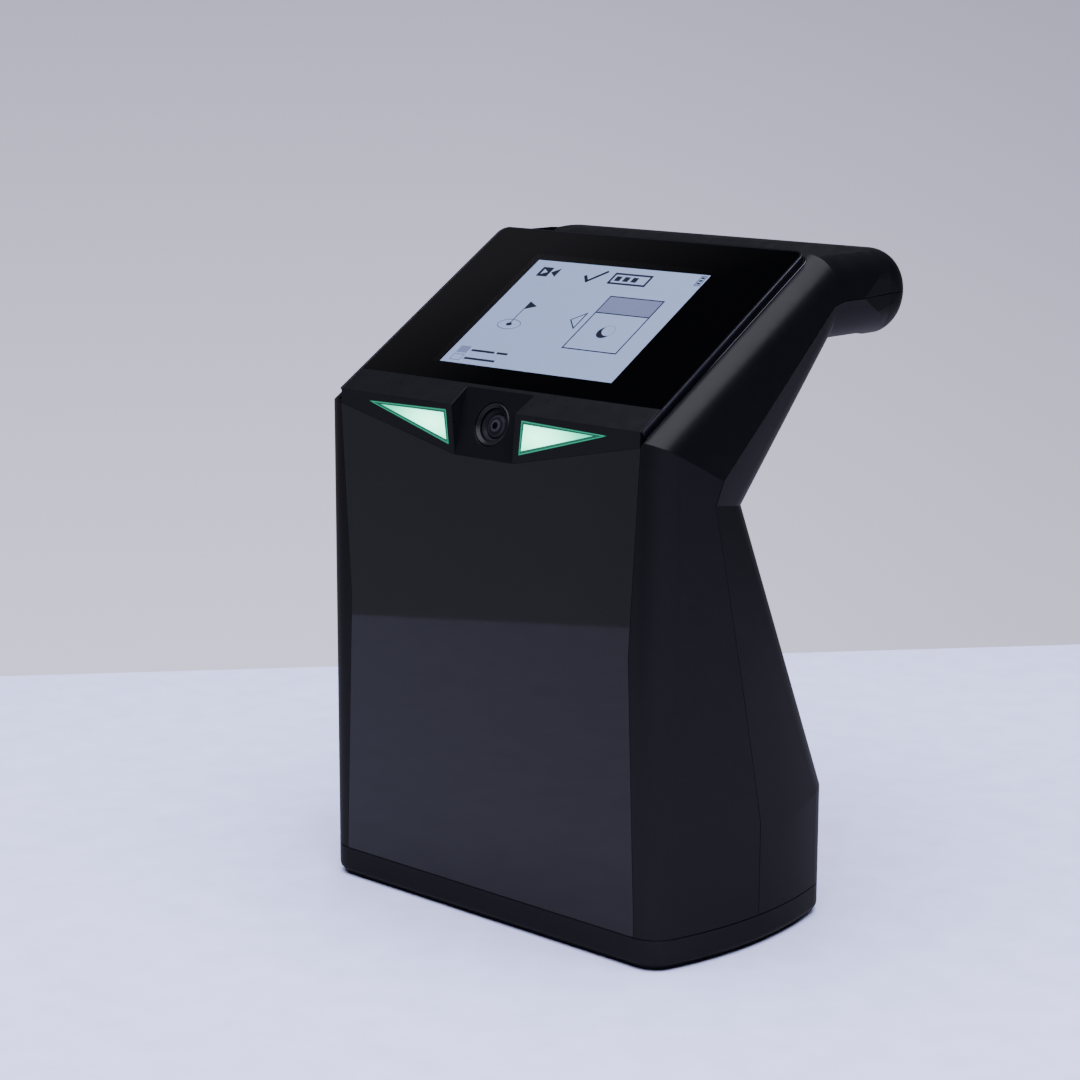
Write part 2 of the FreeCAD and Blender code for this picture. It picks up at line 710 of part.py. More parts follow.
base_solid = mirrored("base_solid", plan_slab("base_plan", "sole_top", "base_top - sole_top", "0"))
BASE_ROUNDING = 2.4
base_round = rounded_bottom("base_round", base_solid, BASE_ROUNDING)
base_hollow = mirrored("base_hollow", plan_slab("base_hollow_plan", "sole_top + 2.5", "20", "wall"))
corner_places = [(sign, where) for sign in ("1", "-1") for where in screw_boss_places]
base_pads = []
base_holes = []
sole_holes = []
base_screws = []
for index, (sign, where) in enumerate(corner_places):
    across, depth = screw_boss_places[where]
    spot_x = f"{sign} * {across}"
    spot_y = f"{depth} {BACK}"
    base_pads.append(cylinder(f"base_pad_{index}", "5", "base_top - sole_top - 1",
                              (spot_x, spot_y, "sole_top + 1")))
    base_holes.append(cylinder(f"base_hole_{index}", "screw_radius + 0.2", "20",
                               (spot_x, spot_y, "0")))
    base_holes.append(cylinder(f"base_counterbore_{index}", "screw_head + 0.3", "sole_top + 6",
                               (spot_x, spot_y, "-3")))
    sole_holes.append(cylinder(f"sole_hole_{index}", "4", "10", (spot_x, spot_y, "-2")))
    base_screws.append(screw(f"base_screw_{index}", (spot_x, spot_y, "sole_top + 3"), "15"))
base_tray = cut("base_tray", base_round, base_hollow)
pads_inside = common("pads_inside", [fuse("base_pads", base_pads), base_solid])
node("base_cover", cut("base_cover", fuse("base_with_pads", [base_tray, pads_inside]), *base_holes))
sole_solid = mirrored("sole_solid", plan_slab("sole_plan", "0", "sole_top", "sole_inset"))
node("rubber_sole", cut("rubber_sole", sole_solid, *sole_holes))
group("base_screws", base_screws)

# ---------------------------------------------------------------- window and bezel

node("front_window", front_plate("front_window", window_outline("0"), "window_thick", "0"))
seal_outer = front_plate("seal_outer", window_outline("1"), "wall - window_thick", "window_thick")
seal_inner = front_plate("seal_inner", window_outline("frame_ledge"), "5", "0")
node("window_seal", cut("window_seal", seal_outer, seal_inner))

frame_outer = front_plate("frame_outer", [
    ("-72.4", "base_top + 4"), ("72.4", "base_top + 4"), ("72.4", "window_top_height - 2"),
    ("notch_half", "notch_height - 0.4"), ("0 - notch_half", "notch_height - 0.4"),
    ("-72.4", "window_top_height - 2")], "frame_thick", "wall")
frame_hole = front_plate("frame_hole", window_outline("frame_ledge"), "20", "0")
FRAME_POSTS = [(side, height) for side in ("-70", "70") for height in ("30", "130")]
frame_screw_holes = [rod(f"frame_screw_hole_{index}", "1.2", "wall + 0.6", "10", side, height)
                     for index, (side, height) in enumerate(FRAME_POSTS)]
node("window_frame", cut("window_frame", frame_outer, frame_hole, *frame_screw_holes))

behind_front = slab("behind_front", "-100", "0", "100", ("200", "100", "200"))
under_glass = display_box("under_glass", "bezel_half", "-60", "200", "-100", "100")
bezel_outline = [
    ("0", "notch_height + 0.15"), ("notch_half", "notch_height + 0.15"),
    ("window_top_half", "window_top_height + 0.15"), ("window_top_half", "220"), ("0", "220")]
bezel_face = common("bezel_face", [front_plate("bezel_plate", bezel_outline, "wall", "0"),
                                   under_glass])
bezel_chin = common("bezel_chin", [
    display_box("chin_slab", "bezel_half", "-12", "chin_length + 12", "0 - module_depth",
                "module_depth"), behind_front,
    slab("right_side", "0", "-10", "100", ("100", "100", "200"))])
bezel_block = common("bezel_block", [
    front_plate("block_plate", [
        ("0", "notch_height + 0.15"), ("notch_half", "notch_height + 0.15"),
        ("camera_block_half", "notch_height + 1.8"), ("camera_block_half", "220"), ("0", "220")],
        "camera_block_back", "0"),
    under_glass,
    display_box("block_reach", "camera_block_half", "-60", "chin_length + 60", "-60", "60")])
bezel_half = fuse("bezel_half_solid", [bezel_face, bezel_chin, bezel_block])

facet_sketch = doc.addObject("Sketcher::SketchObject", "facet_outline")
sketch_polygon(facet_sketch, [
    ("0 - facet_low_half", "-0.5"), ("facet_low_half", "-0.5"), ("facet_top_half", "30"),
    ("0 - facet_top_half", "30")])
tilt(facet_sketch, "90 - facet_lean", ("0", f"0 {BACK}", "notch_height"))
facet_cut = extrude("facet_cut", facet_sketch, "20")


light_holes = [front_plate(f"light_hole_{side}", light_outline(sign), "30", "-5")
               for side, sign in (("left", "-1"), ("right", "1"))]
camera_hole = facet_cylinder("camera_hole", "camera_radius + 0.2", "-30", "40")
node("front_bezel", cut("front_bezel", mirrored("bezel_whole", bezel_half), facet_cut,
                        camera_hole, *light_holes))
for side, sign in (("left", "-1"), ("right", "1")):
    lens = front_plate(f"status_lens_{side}", light_outline(sign), "light_thick", "0.1")
    node(f"status_lens_{side}", lens)
    board = front_plate(f"status_board_{side}", light_outline(sign, "0.5"), "board_thick",
                        "light_thick + 1.2")
    node(f"status_board_{side}", board)

# ---------------------------------------------------------------- aiming camera

node("camera_ring", revolved_body("camera_ring", [
    ("camera_radius - 0.9", "-3"), ("camera_radius", "-3"), ("camera_radius", "-0.4"),
    ("camera_radius - 0.5", "0.1"), ("camera_radius - 1.6", "-0.9"), ("camera_radius - 1.6", "-1.4"),
    ("camera_radius - 0.9", "-1.4")], None, on_camera="0"))
node("camera_barrel", revolved_body("camera_barrel", [
    ("0", "-12"), ("camera_radius", "-12"), ("camera_radius", "-3"), ("camera_radius - 1.7", "-3"),
    ("camera_radius - 1.7", "-1.8"), ("lens_radius + 0.9", "-1.8"), ("lens_radius", "-3.2"),
    ("lens_radius", "-8"), ("0", "-8")], None, on_camera="0"))
camera_lens_body = facet_cylinder("camera_lens_blank", "lens_radius", "-8", "6.4")
dome = doc.addObject("Part::Sphere", "camera_dome")
bind(dome, Radius="9")
on_facet(dome, "-10.6")
node("camera_lens", common("camera_lens", [camera_lens_body, dome]))
camera_board = doc.addObject("Part::Box", "camera_board")
bind(camera_board, Length="20", Width="16", Height="board_thick")
node("camera_board", on_facet(camera_board, "0 - 12 - board_thick", "-8"))
camera_board.setExpression("Placement.Base.x", "-10")

# ---------------------------------------------------------------- display module

frame_plate = display_plate("frame_plate", "module_half", "chin_length + 0.1",
                            "module_length - chin_length - 0.1", "0 - module_depth",
                            "module_depth", "module_corner")
rails = [on_display(bind(doc.addObject("Part::Box", f"rail_{side}"), Length="rim",
                         Width="chin_length", Height="module_depth"),
                    "0.3", "0 - module_depth", across)
         for side, across in (("left", "0 - module_half"), ("right", "module_half - rim"))]
glass_pocket = display_plate("glass_pocket", "module_half - rim", "-10",
                             "module_length - rim + 10", "0 - glass_thick - 0.1", "10",
                             "module_corner - rim")
panel_pocket = display_box("panel_pocket", "panel_half + 0.1", "panel_start - 0.1",
                           "panel_length + 0.2", "-2.4", "10")
flex_slot = display_box("flex_slot", "16", "panel_start - 0.1", "4", "-10", "20")
node("display_frame", cut("display_frame", fuse("frame_blank", [frame_plate, *rails]),
                          glass_pocket, panel_pocket, flex_slot))
GLASS_LENGTH = "module_length - rim - chin_length - 0.3"
node("display_glass", display_plate("display_glass", "module_half - rim - 0.1",
                                    "chin_length + 0.2", GLASS_LENGTH, "0 - glass_thick + 0.02",
                                    "glass_thick - 0.02", "module_corner - rim - 0.1"))
mask_plate = display_plate("mask_plate", "module_half - rim - 0.1", "chin_length + 0.2",
                           GLASS_LENGTH, "0 - glass_thick - 0.1", "0.1",
                           "module_corner - rim - 0.1")
mask_hole = display_box("mask_hole", "screen_half", "screen_start", "screen_length", "-5", "10")
node("display_mask", cut("display_mask", mask_plate, mask_hole))
node("epaper_panel", display_box("epaper_panel", "panel_half", "panel_start", "panel_length",
                                 "-2.4", "1.1"))
node("display_board", display_box("display_board", "56", "18", "74",
                                  "0 - module_depth - board_thick", "board_thick"))
node("display_ribbon", display_box("display_ribbon", "12", "panel_start + 0.5", "2",
                                   "0 - module_depth", "1.6"))
node("wifi_antenna", display_box("wifi_antenna", "20", "78", "8", "-6.8", "1.2"))

# ---------------------------------------------------------------- inside the tower

EYES = (("left", "-1"), ("right", "1"))
CHASSIS_BACK = "(chassis_depth + sheet_metal)"
chassis_plate = slab("chassis_plate", "-72.8", "chassis_depth", "chassis_low",
                     ("145.6", "sheet_metal", "chassis_top - chassis_low"))
frame_legs = [rod(f"frame_leg_{index}", "2.8", "wall + frame_thick",
                  "chassis_depth - wall - frame_thick", side, height)
              for index, (side, height) in enumerate(FRAME_POSTS)]
BOARD_SPOTS = [(side, height) for side in ("-48", "48") for height in ("62", "116")]
BOARD_DEPTH = "32"
board_legs = [rod(f"board_leg_{index}", "3", CHASSIS_BACK, f"{BOARD_DEPTH} - {CHASSIS_BACK}",
                  side, height) for index, (side, height) in enumerate(BOARD_SPOTS)]
eye_holes = [rod(f"eye_hole_{side}", "7.4", "10", "10", f"{sign} * eye_place", "eye_height")
             for side, sign in EYES]
leg_holes = [rod(f"leg_hole_{index}", "screw_radius", "5", "15", side, height)
             for index, (side, height) in enumerate(FRAME_POSTS)]
board_leg_holes = [rod(f"board_leg_hole_{index}", "screw_radius", "20", "20", side, height)
                   for index, (side, height) in enumerate(BOARD_SPOTS)]
lightening = [slab(f"lightening_{side}", across, "10", "72", ("34", "10", "44"))
              for side, across in (("left", "-52"), ("right", "18"))]
node("inner_chassis", cut("inner_chassis",
                          fuse("chassis_blank", [chassis_plate, *frame_legs, *board_legs]),
                          *eye_holes, *leg_holes, *board_leg_holes, *lightening))

for side, sign in EYES:
    camera = slab(f"measuring_camera_{side}", f"{sign} * eye_place - eye_size / 2", CHASSIS_BACK,
                  "eye_height - eye_size / 2", ("eye_size", "12", "eye_size"))
    node(f"measuring_camera_{side}", camera)
    barrel = revolved_body(f"measuring_lens_{side}", [
        ("0", "0"), ("7", "0"), ("7", "6"), ("6.2", "6.4"), ("6.2", "9.4"), ("5", "9.4"),
        ("4.4", "7.6"), ("0", "8.6")],
        (f"{sign} * eye_place", f"{CHASSIS_BACK} {BACK}", "eye_height"),
        Rotation(Vector(1, 0, 0), 90))
    node(f"measuring_lens_{side}", barrel)

LIGHT_ROWS = {"upper": ("30", "131", 5, "12"), "lower": ("50", "50", 6, "16")}
emitters = []
for row, (half, low, count, step) in LIGHT_ROWS.items():
    board = slab(f"infrared_board_{row}", f"0 - {half}", "chassis_depth - board_thick", low,
                 (f"2 * {half}", "board_thick", "14"))
    node(f"infrared_board_{row}", board)
    for index in range(count):
        across = f"{step} * ({index} - ({count} - 1) / 2)"
        emitters.append(revolved_body(f"emitter_{row}_{index}", [
            ("0", "0"), ("2.5", "0"), ("2.5", "1.8"), ("1.7", "3.2"), ("0", "3.6")],
            (across, f"chassis_depth - board_thick {BACK}", f"{low} + 7"),
            Rotation(Vector(1, 0, 0), 90)))
group("infrared_emitters", emitters)

board_plate = slab("board_plate", "-55", BOARD_DEPTH, "56", ("110", "board_thick", "92"))
board_holes = [rod(f"main_board_hole_{index}", "screw_radius + 0.1", "30", "10", side, height)
               for index, (side, height) in enumerate(BOARD_SPOTS)]
node("main_board", cut("main_board", board_plate, *board_holes))
chips = [slab(f"chip_{index}", across, f"{BOARD_DEPTH} - 2", low, size)
         for index, (across, low, size) in enumerate((
             ("-20", "84", ("18", "2", "18")), ("6", "86", ("12", "2", "14")),
             ("-18", "106", ("10", "2", "8"))))]
group("main_chips", chips)
fins = [slab(f"fin_{index}", f"-22 + 5 * {index}", f"{BOARD_DEPTH} - 8", "78",
             ("1.4", "4.6", "40")) for index in range(10)]
sink_plate = slab("sink_plate", "-24", f"{BOARD_DEPTH} - 3.6", "78", ("48", "1.6", "40"))
node("heat_spreader", fuse("heat_spreader", [sink_plate, *fins]))

BATTERY_LOW = "sole_top + 2.5"
STRAP_LOW = "41.5"
FOOT_TOP = f"{BATTERY_LOW} + 1.6"
battery_block = slab("battery_block", "-45", "40", BATTERY_LOW,
                     ("90", "40", f"{STRAP_LOW} - ({BATTERY_LOW})"))
node("battery_pack", battery_block)
strap_outline = [
    ("-58", BATTERY_LOW), ("-45", BATTERY_LOW), ("-45", STRAP_LOW), ("45", STRAP_LOW),
    ("45", BATTERY_LOW), ("58", BATTERY_LOW), ("58", FOOT_TOP), ("46.6", FOOT_TOP),
    ("46.6", "43.1"), ("-46.6", "43.1"), ("-46.6", FOOT_TOP), ("-58", FOOT_TOP)]
node("battery_bracket", front_plate("battery_bracket", strap_outline, "14", "52"))

# ---------------------------------------------------------------- rear controls

REAR_BOARD = "86.4"
node("rear_board", slab("rear_board", "-44", REAR_BOARD, "20", ("88", "board_thick", "22")))
switch_case = slab("switch_case", "button_place - 3", "88", "control_height - 3", ("6", "5.4", "6"))
switch_tip = rod("switch_tip", "1.6", "93", "2.2", "button_place", "control_height")
node("power_switch", fuse("power_switch", [switch_case, switch_tip]))
node("power_button", revolved_body("power_button", [
    ("0", "0"), ("2", "0"), ("2", "0.5"), ("button_radius + 1.4", "0.5"),
    ("button_radius + 1.4", "1.6"), ("button_radius - 0.15", "1.6"),
    ("button_radius - 0.15", "4.2"), ("button_radius - 0.75", "4.8"), ("0", "4.5")],
    ("button_place", f"96 {BACK}", "control_height"), Rotation(Vector(1, 0, 0), -90)))
socket_shell = port_block("socket_shell", "0", "88", "9.6")
socket_hollow = port_block("socket_hollow", "0 - 0.35", "90.5", "10")
socket_tongue = slab("socket_tongue", "port_place - 3.3", "90", "control_height - 0.35",
                     ("6.6", "6.4", "0.7"))
node("charging_socket", fuse("charging_socket", [
    cut("socket_can", socket_shell, socket_hollow), socket_tongue]))

flap_plate = slab("flap_plate", "port_place - flap_wide / 2 + 0.2", "tower_depth - flap_thick",
                  HINGE_HEIGHT, ("flap_wide - 0.4", "flap_thick", "flap_tall - flap_thick / 2 - 0.2"))
flap_barrel = cylinder("flap_barrel", "flap_thick / 2", "flap_wide - 0.4",
                       ("port_place - flap_wide / 2 + 0.2", f"{HINGE_DEPTH} {BACK}", HINGE_HEIGHT),
                       Rotation(Vector(0, 1, 0), 90))
flap_bore = cylinder("flap_bore", "0.55", "60",
                     ("port_place - 30", f"{HINGE_DEPTH} {BACK}", HINGE_HEIGHT),
                     Rotation(Vector(0, 1, 0), 90))
flap_notch = rod("flap_notch", "4", "tower_depth - 0.8", "2", "port_place",
                 "control_height + flap_tall / 2 + 1.8")
node("port_flap", cut("port_flap", fuse("flap_blank", [flap_plate, flap_barrel]), flap_bore,
                      flap_notch))
node("flap_pin", cylinder("flap_pin", "0.48", "flap_wide + 3",
                          ("port_place - flap_wide / 2 - 1.5", f"{HINGE_DEPTH} {BACK}",
                           HINGE_HEIGHT), Rotation(Vector(0, 1, 0), 90)))

# ---------------------------------------------------------------- fasteners

FORWARD = Rotation(Vector(1, 0, 0), 90)
group("chassis_screws", [screw(f"chassis_screw_{index}",
                               (side, f"{CHASSIS_BACK} {BACK}", height), "10", FORWARD)
                         for index, (side, height) in enumerate(FRAME_POSTS)])
group("board_screws", [screw(f"board_screw_{index}",
                             (side, f"{BOARD_DEPTH} + board_thick {BACK}", height), "8", FORWARD)
                       for index, (side, height) in enumerate(BOARD_SPOTS)])
group("handle_screws", [screw(f"handle_screw_{side}",
                              (f"{sign} * 60", f"bar_depth {BACK}", "216"), "18")
                        for side, sign in EYES])

# ---------------------------------------------------------------- check and write

doc.recompute()
faults = [thing.Name for thing in doc.Objects
          if "Invalid" in thing.State or "Error" in thing.State]
for name, thing in nodes.items():
    shape = thing.Shape
    solids = len(getattr(thing, "Links", [thing]))
    if shape.isNull() or not shape.isValid() or len(shape.Solids) != solids:
        faults.append(name)
if faults:
    raise SystemExit(f"failed: {faults}")

os.makedirs("parts", exist_ok=True)
for name, thing in nodes.items():
    thing.Shape.exportStep(f"parts/{name}.step")
    box_of = thing.Shape.BoundBox
    print(f"{name}: {len(thing.Shape.Solids)} solids, {len(thing.Shape.Faces)} faces, "
          f"{box_of.XLength:.1f} x {box_of.YLength:.1f} x {box_of.ZLength:.1f}")
print(len(nodes), "nodes")
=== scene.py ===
"""Looks for the golf launch monitor: materials, screen marks, status glow, lens rings, studio.

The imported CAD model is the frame. Metres, +Z up, -Y towards the golfer, +X to the viewer's right.
"""

import math

import bmesh
import bpy
from mathutils import Matrix, Vector


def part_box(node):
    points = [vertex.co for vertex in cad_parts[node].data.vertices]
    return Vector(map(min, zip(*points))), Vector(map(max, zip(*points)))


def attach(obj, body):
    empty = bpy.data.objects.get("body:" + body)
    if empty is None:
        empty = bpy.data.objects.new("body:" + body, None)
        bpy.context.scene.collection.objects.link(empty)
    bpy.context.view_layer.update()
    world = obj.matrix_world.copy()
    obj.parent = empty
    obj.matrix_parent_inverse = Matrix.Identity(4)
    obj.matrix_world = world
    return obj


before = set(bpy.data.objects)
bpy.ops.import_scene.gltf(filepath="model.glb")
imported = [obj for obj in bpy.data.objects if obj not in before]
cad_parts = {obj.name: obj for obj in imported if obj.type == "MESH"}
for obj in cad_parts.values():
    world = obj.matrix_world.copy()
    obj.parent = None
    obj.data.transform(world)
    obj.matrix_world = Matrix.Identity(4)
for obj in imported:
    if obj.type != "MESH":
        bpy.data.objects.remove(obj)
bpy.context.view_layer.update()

MM = 0.001
BODY, BUTTON = "body", "power_button"

slot_of_node = {name: thing.data.materials[0].name for name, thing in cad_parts.items()}
for plain in list(bpy.data.materials):
    plain.name = "packed_" + plain.name

# ---------------------------------------------------------------- places on the CAD model

# The display's slope, and sizes on it in millimetres, up the slope from the chin's front edge.
SLOPE = math.radians(31.9)
UP_SLOPE = Vector((0.0, math.cos(SLOPE), math.sin(SLOPE)))
OUT_OF_GLASS = Vector((0.0, -math.sin(SLOPE), math.cos(SLOPE)))
CHIN_LENGTH = 12.4
MODULE_HALF, MODULE_LENGTH, MODULE_CORNER = 74.6, 104.3, 4.0
GLASS_START, GLASS_THICK = CHIN_LENGTH + 0.2, 1.18
PANEL_START, PANEL_THICK = 20.6, 1.1
SCREEN_HALF, SCREEN_START, SCREEN_LENGTH = 42.4, 23.6, 63.7

# The camera's lens leans back with the facet that it sits in.
FACET_LEAN = math.radians(21.0)
LENS_AXIS = (0.0, -math.cos(FACET_LEAN), math.sin(FACET_LEAN))


def on_slope(low, start, thick):
    """Maps millimetres across, up the slope and out of it to a spot on a slab's upper face.

    The slab lies on the display's slope. Low is the low corner of its box in metres, and start
    and thick are its own, in millimetres.
    """
    depth = thick * MM
    edge = Vector((0.0, low.y + depth * math.sin(SLOPE), low.z)) + OUT_OF_GLASS * depth

    def spot(across, along, rise):
        return (edge + Vector((across * MM, 0.0, 0.0)) + UP_SLOPE * (along - start) * MM
                + OUT_OF_GLASS * rise * MM)

    return spot


def on_front(depth):
    """Maps metres across, up and forwards to a spot ahead of a depth."""
    return lambda x, y, z: Vector((x, depth - z, y))


def on_back(node_name):
    """Maps millimetres across and up, from a node's centre, to its rearmost face."""
    low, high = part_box(node_name)
    middle = (low + high) / 2
    return lambda x, y, z: Vector((middle.x - x * MM, high.y + z * MM, middle.z + y * MM))


panel_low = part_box("epaper_panel")[0]
glass_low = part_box("display_glass")[0]
on_panel = on_slope(panel_low, PANEL_START, PANEL_THICK)
on_glass = on_slope(glass_low, GLASS_START, GLASS_THICK)

camera_low, camera_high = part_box("camera_ring")
LENS_SPOT = (camera_low + camera_high) / 2


# ---------------------------------------------------------------- shader nodes

def feed(links, sockets, values):
    """Gives each socket a plain value or another node's output."""
    for socket, value in zip(sockets, values):
        if isinstance(value, bpy.types.NodeSocket):
            links.new(value, socket)
        else:
            socket.default_value = value


def calc(nodes, links, operation, *values):
    node = nodes.new("ShaderNodeMath")
    node.operation = operation
    feed(links, node.inputs, values)
    return node.outputs[0]


def vector_calc(nodes, links, operation, *values):
    """Vector maths: a number for a dot product or a length, and a vector for the rest."""
    node = nodes.new("ShaderNodeVectorMath")
    node.operation = operation
    feed(links, node.inputs, values)
    return node.outputs["Value" if operation in ("DOT_PRODUCT", "LENGTH") else "Vector"]


def rescale(nodes, links, source, from_low, from_high, to_low=0.0, to_high=1.0):
    """Maps one range to another, held within the second."""
    node = nodes.new("ShaderNodeMapRange")
    ends = ("Value", "From Min", "From Max", "To Min", "To Max")
    feed(links, [node.inputs[end] for end in ends],
         (source, from_low, from_high, to_low, to_high))
    return node.outputs["Result"]


def ramp_over(nodes, links, source, stops):
    """A colour ramp from (position, colour) pairs."""
    node = nodes.new("ShaderNodeValToRGB")
    ramp = node.color_ramp
    while len(ramp.elements) > 1:
        ramp.elements.remove(ramp.elements[-1])
    for index, (place, colour) in enumerate(stops):
        stop = ramp.elements[0] if index == 0 else ramp.elements.new(place)
        stop.position = place
        stop.color = (*colour, 1.0)
    links.new(source, node.inputs[0])
    return node.outputs["Color"]


def mix_colours(nodes, links, blend, share, first, second):
    node = nodes.new("ShaderNodeMix")
    node.data_type = "RGBA"
    node.blend_type = blend
    feed(links, [node.inputs[end] for end in ("Factor", "A", "B")], (share, first, second))
    return node.outputs["Result"]


def mix_shaders(nodes, links, share, first, second):
    node = nodes.new("ShaderNodeMixShader")
    feed(links, node.inputs, (share, first, second))
    return node.outputs[0]


def object_place(nodes):
    return nodes.new("ShaderNodeTexCoord").outputs["Object"]


def noise(nodes, links, scale, detail=3.0, stretch=None):
    """Noise in the object's own metres, with its scale in cells per metre."""
    place = object_place(nodes)
    if stretch:
        mapping = nodes.new("ShaderNodeMapping")
        mapping.inputs["Scale"].default_value = stretch
        links.new(place, mapping.inputs["Vector"])
        place = mapping.outputs[0]
    pattern = nodes.new("ShaderNodeTexNoise")
    pattern.inputs["Scale"].default_value = scale
    pattern.inputs["Detail"].default_value = detail
    links.new(place, pattern.inputs["Vector"])
    return pattern.outputs["Fac"]


def distance_from_axis(nodes, links, spot, axis):
    """Metres from a straight line through a spot."""
    offset = vector_calc(nodes, links, "SUBTRACT", object_place(nodes), spot)
    across = vector_calc(nodes, links, "CROSS_PRODUCT", offset, axis)
    return vector_calc(nodes, links, "LENGTH", across)


def mirror_share(nodes, links, straight, grazing, power):
    """The part of the light that is mirrored: straight on, plus what grows towards grazing."""
    facing = nodes.new("ShaderNodeLayerWeight").outputs["Facing"]
    bent = calc(nodes, links, "POWER", facing, power)
    return calc(nodes, links, "MULTIPLY_ADD", bent, grazing, straight)


# ---------------------------------------------------------------- studio

# The camera in degrees and metres, with its focal length in millimetres.
CAMERA_AZIMUTH, CAMERA_ELEVATION, CAMERA_ROLL = 42.89, 11.60, 0.163
CAMERA_TARGET = Vector((-0.01859, 0.0, 0.13348))
CAMERA_DISTANCE = 0.9851
CAMERA_LENS = 86.89

WORLD_STRENGTH = 1.15
WORLD_BY_HEIGHT = [
    (0.0, (0.96, 0.95, 1.22)),
    (0.38, (0.96, 0.92, 1.22)),
    (0.50, (0.56, 0.53, 0.72)),
    (0.58, (0.12, 0.115, 0.15)),
    (0.70, (0.045, 0.045, 0.05)),
    (1.0, (0.03, 0.03, 0.033)),
]
BRIGHT_SIDE = (-0.95, 0.31, 0.0)
WORLD_BY_SIDE = [
    (0.0, (0.60, 0.60, 0.60)),
    (0.30, (0.34, 0.34, 0.34)),
    (0.55, (0.30, 0.30, 0.30)),
    (0.70, (0.84, 0.97, 0.98)),
    (0.80, (0.72, 0.72, 0.72)),
    (0.878, (0.82, 0.82, 0.82)),
    (0.94, (1.0, 1.0, 1.0)),
]

# The glow high at the back comes in between two heights of a direction.
UPPER_SIDE = (0.0, -0.60, 1.0)
UPPER_FROM, UPPER_FULL = 0.50, 0.64
WORLD_UPPER = [
    (0.0, (0.0, 0.0, 0.0)),
    (0.30, (0.0, 0.0, 0.0)),
    (0.50, (0.26, 0.25, 0.29)),
    (0.550, (0.24, 0.23, 0.27)),
    (0.590, (0.0, 0.0, 0.0)),
]

SOFTBOX_PLACE = Vector((0.25, -0.30, 1.7))
SOFTBOX_SIZE = 2.0
SOFTBOX_POWER = 112.0
SOFTBOX_COLOUR = (0.83, 0.87, 1.22)

TABLE_CORNER = Vector((-0.63, -0.208, 0.0))
TABLE_BACK_EDGE = Vector((0.638, 0.770, 0.0))
TABLE_LEFT_EDGE = Vector((0.848, -0.529, 0.0))
TABLE_REACH = 3.5


def look(spot, target, roll=0.0):
    """A rotation that points -Z from a spot to a target."""
    return (target - spot).to_track_quat("-Z", "Y") @ Matrix.Rotation(roll, 4, "Z").to_quaternion()


def add_camera():
    azimuth, elevation = math.radians(CAMERA_AZIMUTH), math.radians(CAMERA_ELEVATION)
    back = Vector((math.sin(azimuth) * math.cos(elevation),
                   -math.cos(azimuth) * math.cos(elevation), math.sin(elevation)))
    data = bpy.data.cameras.new("camera")
    data.sensor_width = 36.0
    data.lens = CAMERA_LENS
    camera = bpy.data.objects.new("camera", data)
    camera.location = CAMERA_TARGET + back * CAMERA_DISTANCE
    camera.rotation_mode = "QUATERNION"
    camera.rotation_quaternion = look(camera.location, CAMERA_TARGET, math.radians(CAMERA_ROLL))
    bpy.context.scene.collection.objects.link(camera)
    bpy.context.scene.camera = camera


def add_softbox():
    """One wide soft light, high up on the camera's side, that looks straight down."""
    data = bpy.data.lights.new("overhead", "AREA")
    data.shape = "RECTANGLE"
    data.size = data.size_y = SOFTBOX_SIZE
    data.energy = SOFTBOX_POWER
    data.color = SOFTBOX_COLOUR
    lamp = bpy.data.objects.new("overhead", data)
    lamp.location = SOFTBOX_PLACE
    lamp.rotation_mode = "QUATERNION"
    lamp.rotation_quaternion = look(SOFTBOX_PLACE, Vector((*SOFTBOX_PLACE.xy, 0.0)))
    bpy.context.scene.collection.objects.link(lamp)


def add_world():
    """A backdrop that is pale below the horizon and dark above it, with a glow high at the back.

    It is brightest on one side. The ramps for its height and its side run from 0 to 1 as a
    direction's height, or its part along the bright side, runs from -1 to 1.
    """
    world = bpy.data.worlds.new("studio")
    bpy.context.scene.world = world
    world.use_nodes = True
    nodes, links = world.node_tree.nodes, world.node_tree.links
    nodes.clear()
    direction = nodes.new("ShaderNodeTexCoord").outputs["Generated"]
    layers = []
    for axis, stops in (((0.0, 0.0, 1.0), WORLD_BY_HEIGHT), (BRIGHT_SIDE, WORLD_BY_SIDE)):
        along = vector_calc(nodes, links, "DOT_PRODUCT", direction, axis)
        half_up = calc(nodes, links, "MULTIPLY_ADD", along, 0.5, 0.5)
        layers.append(ramp_over(nodes, links, half_up, stops))
    band = mix_colours(nodes, links, "MULTIPLY", 1.0, *layers)
    glow = ramp_over(nodes, links, vector_calc(nodes, links, "DOT_PRODUCT", direction, UPPER_SIDE),
                     WORLD_UPPER)
    height = vector_calc(nodes, links, "DOT_PRODUCT", direction, (0.0, 0.0, 1.0))
    above = rescale(nodes, links, height, UPPER_FROM, UPPER_FULL)
    light = nodes.new("ShaderNodeBackground")
    links.new(mix_colours(nodes, links, "ADD", above, band, glow), light.inputs["Color"])
    light.inputs["Strength"].default_value = WORLD_STRENGTH
    links.new(light.outputs[0], nodes.new("ShaderNodeOutputWorld").inputs[0])


def add_table():
    """A pale table top. The camera sees two of its edges, behind the object and to its left."""
    mesh = bpy.data.meshes.new("table_top")
    back, left = TABLE_BACK_EDGE * TABLE_REACH, TABLE_LEFT_EDGE * TABLE_REACH
    corners = [TABLE_CORNER, TABLE_CORNER + left, TABLE_CORNER + left + back, TABLE_CORNER + back]
    mesh.from_pydata(corners, [], [(0, 1, 2, 3)])
    mesh.materials.append(surface("table_paint", (0.76, 0.77, 0.94), 0.62, grain=900.0,
                                  depth=0.02))
    table = bpy.data.objects.new("table_top", mesh)
    bpy.context.scene.collection.objects.link(table)


# ---------------------------------------------------------------- materials

# Cells per metre of the noise behind every surface's mottled colour and its uneven gloss.
PATCH_CELLS, GLOSS_CELLS = 60.0, 220.0

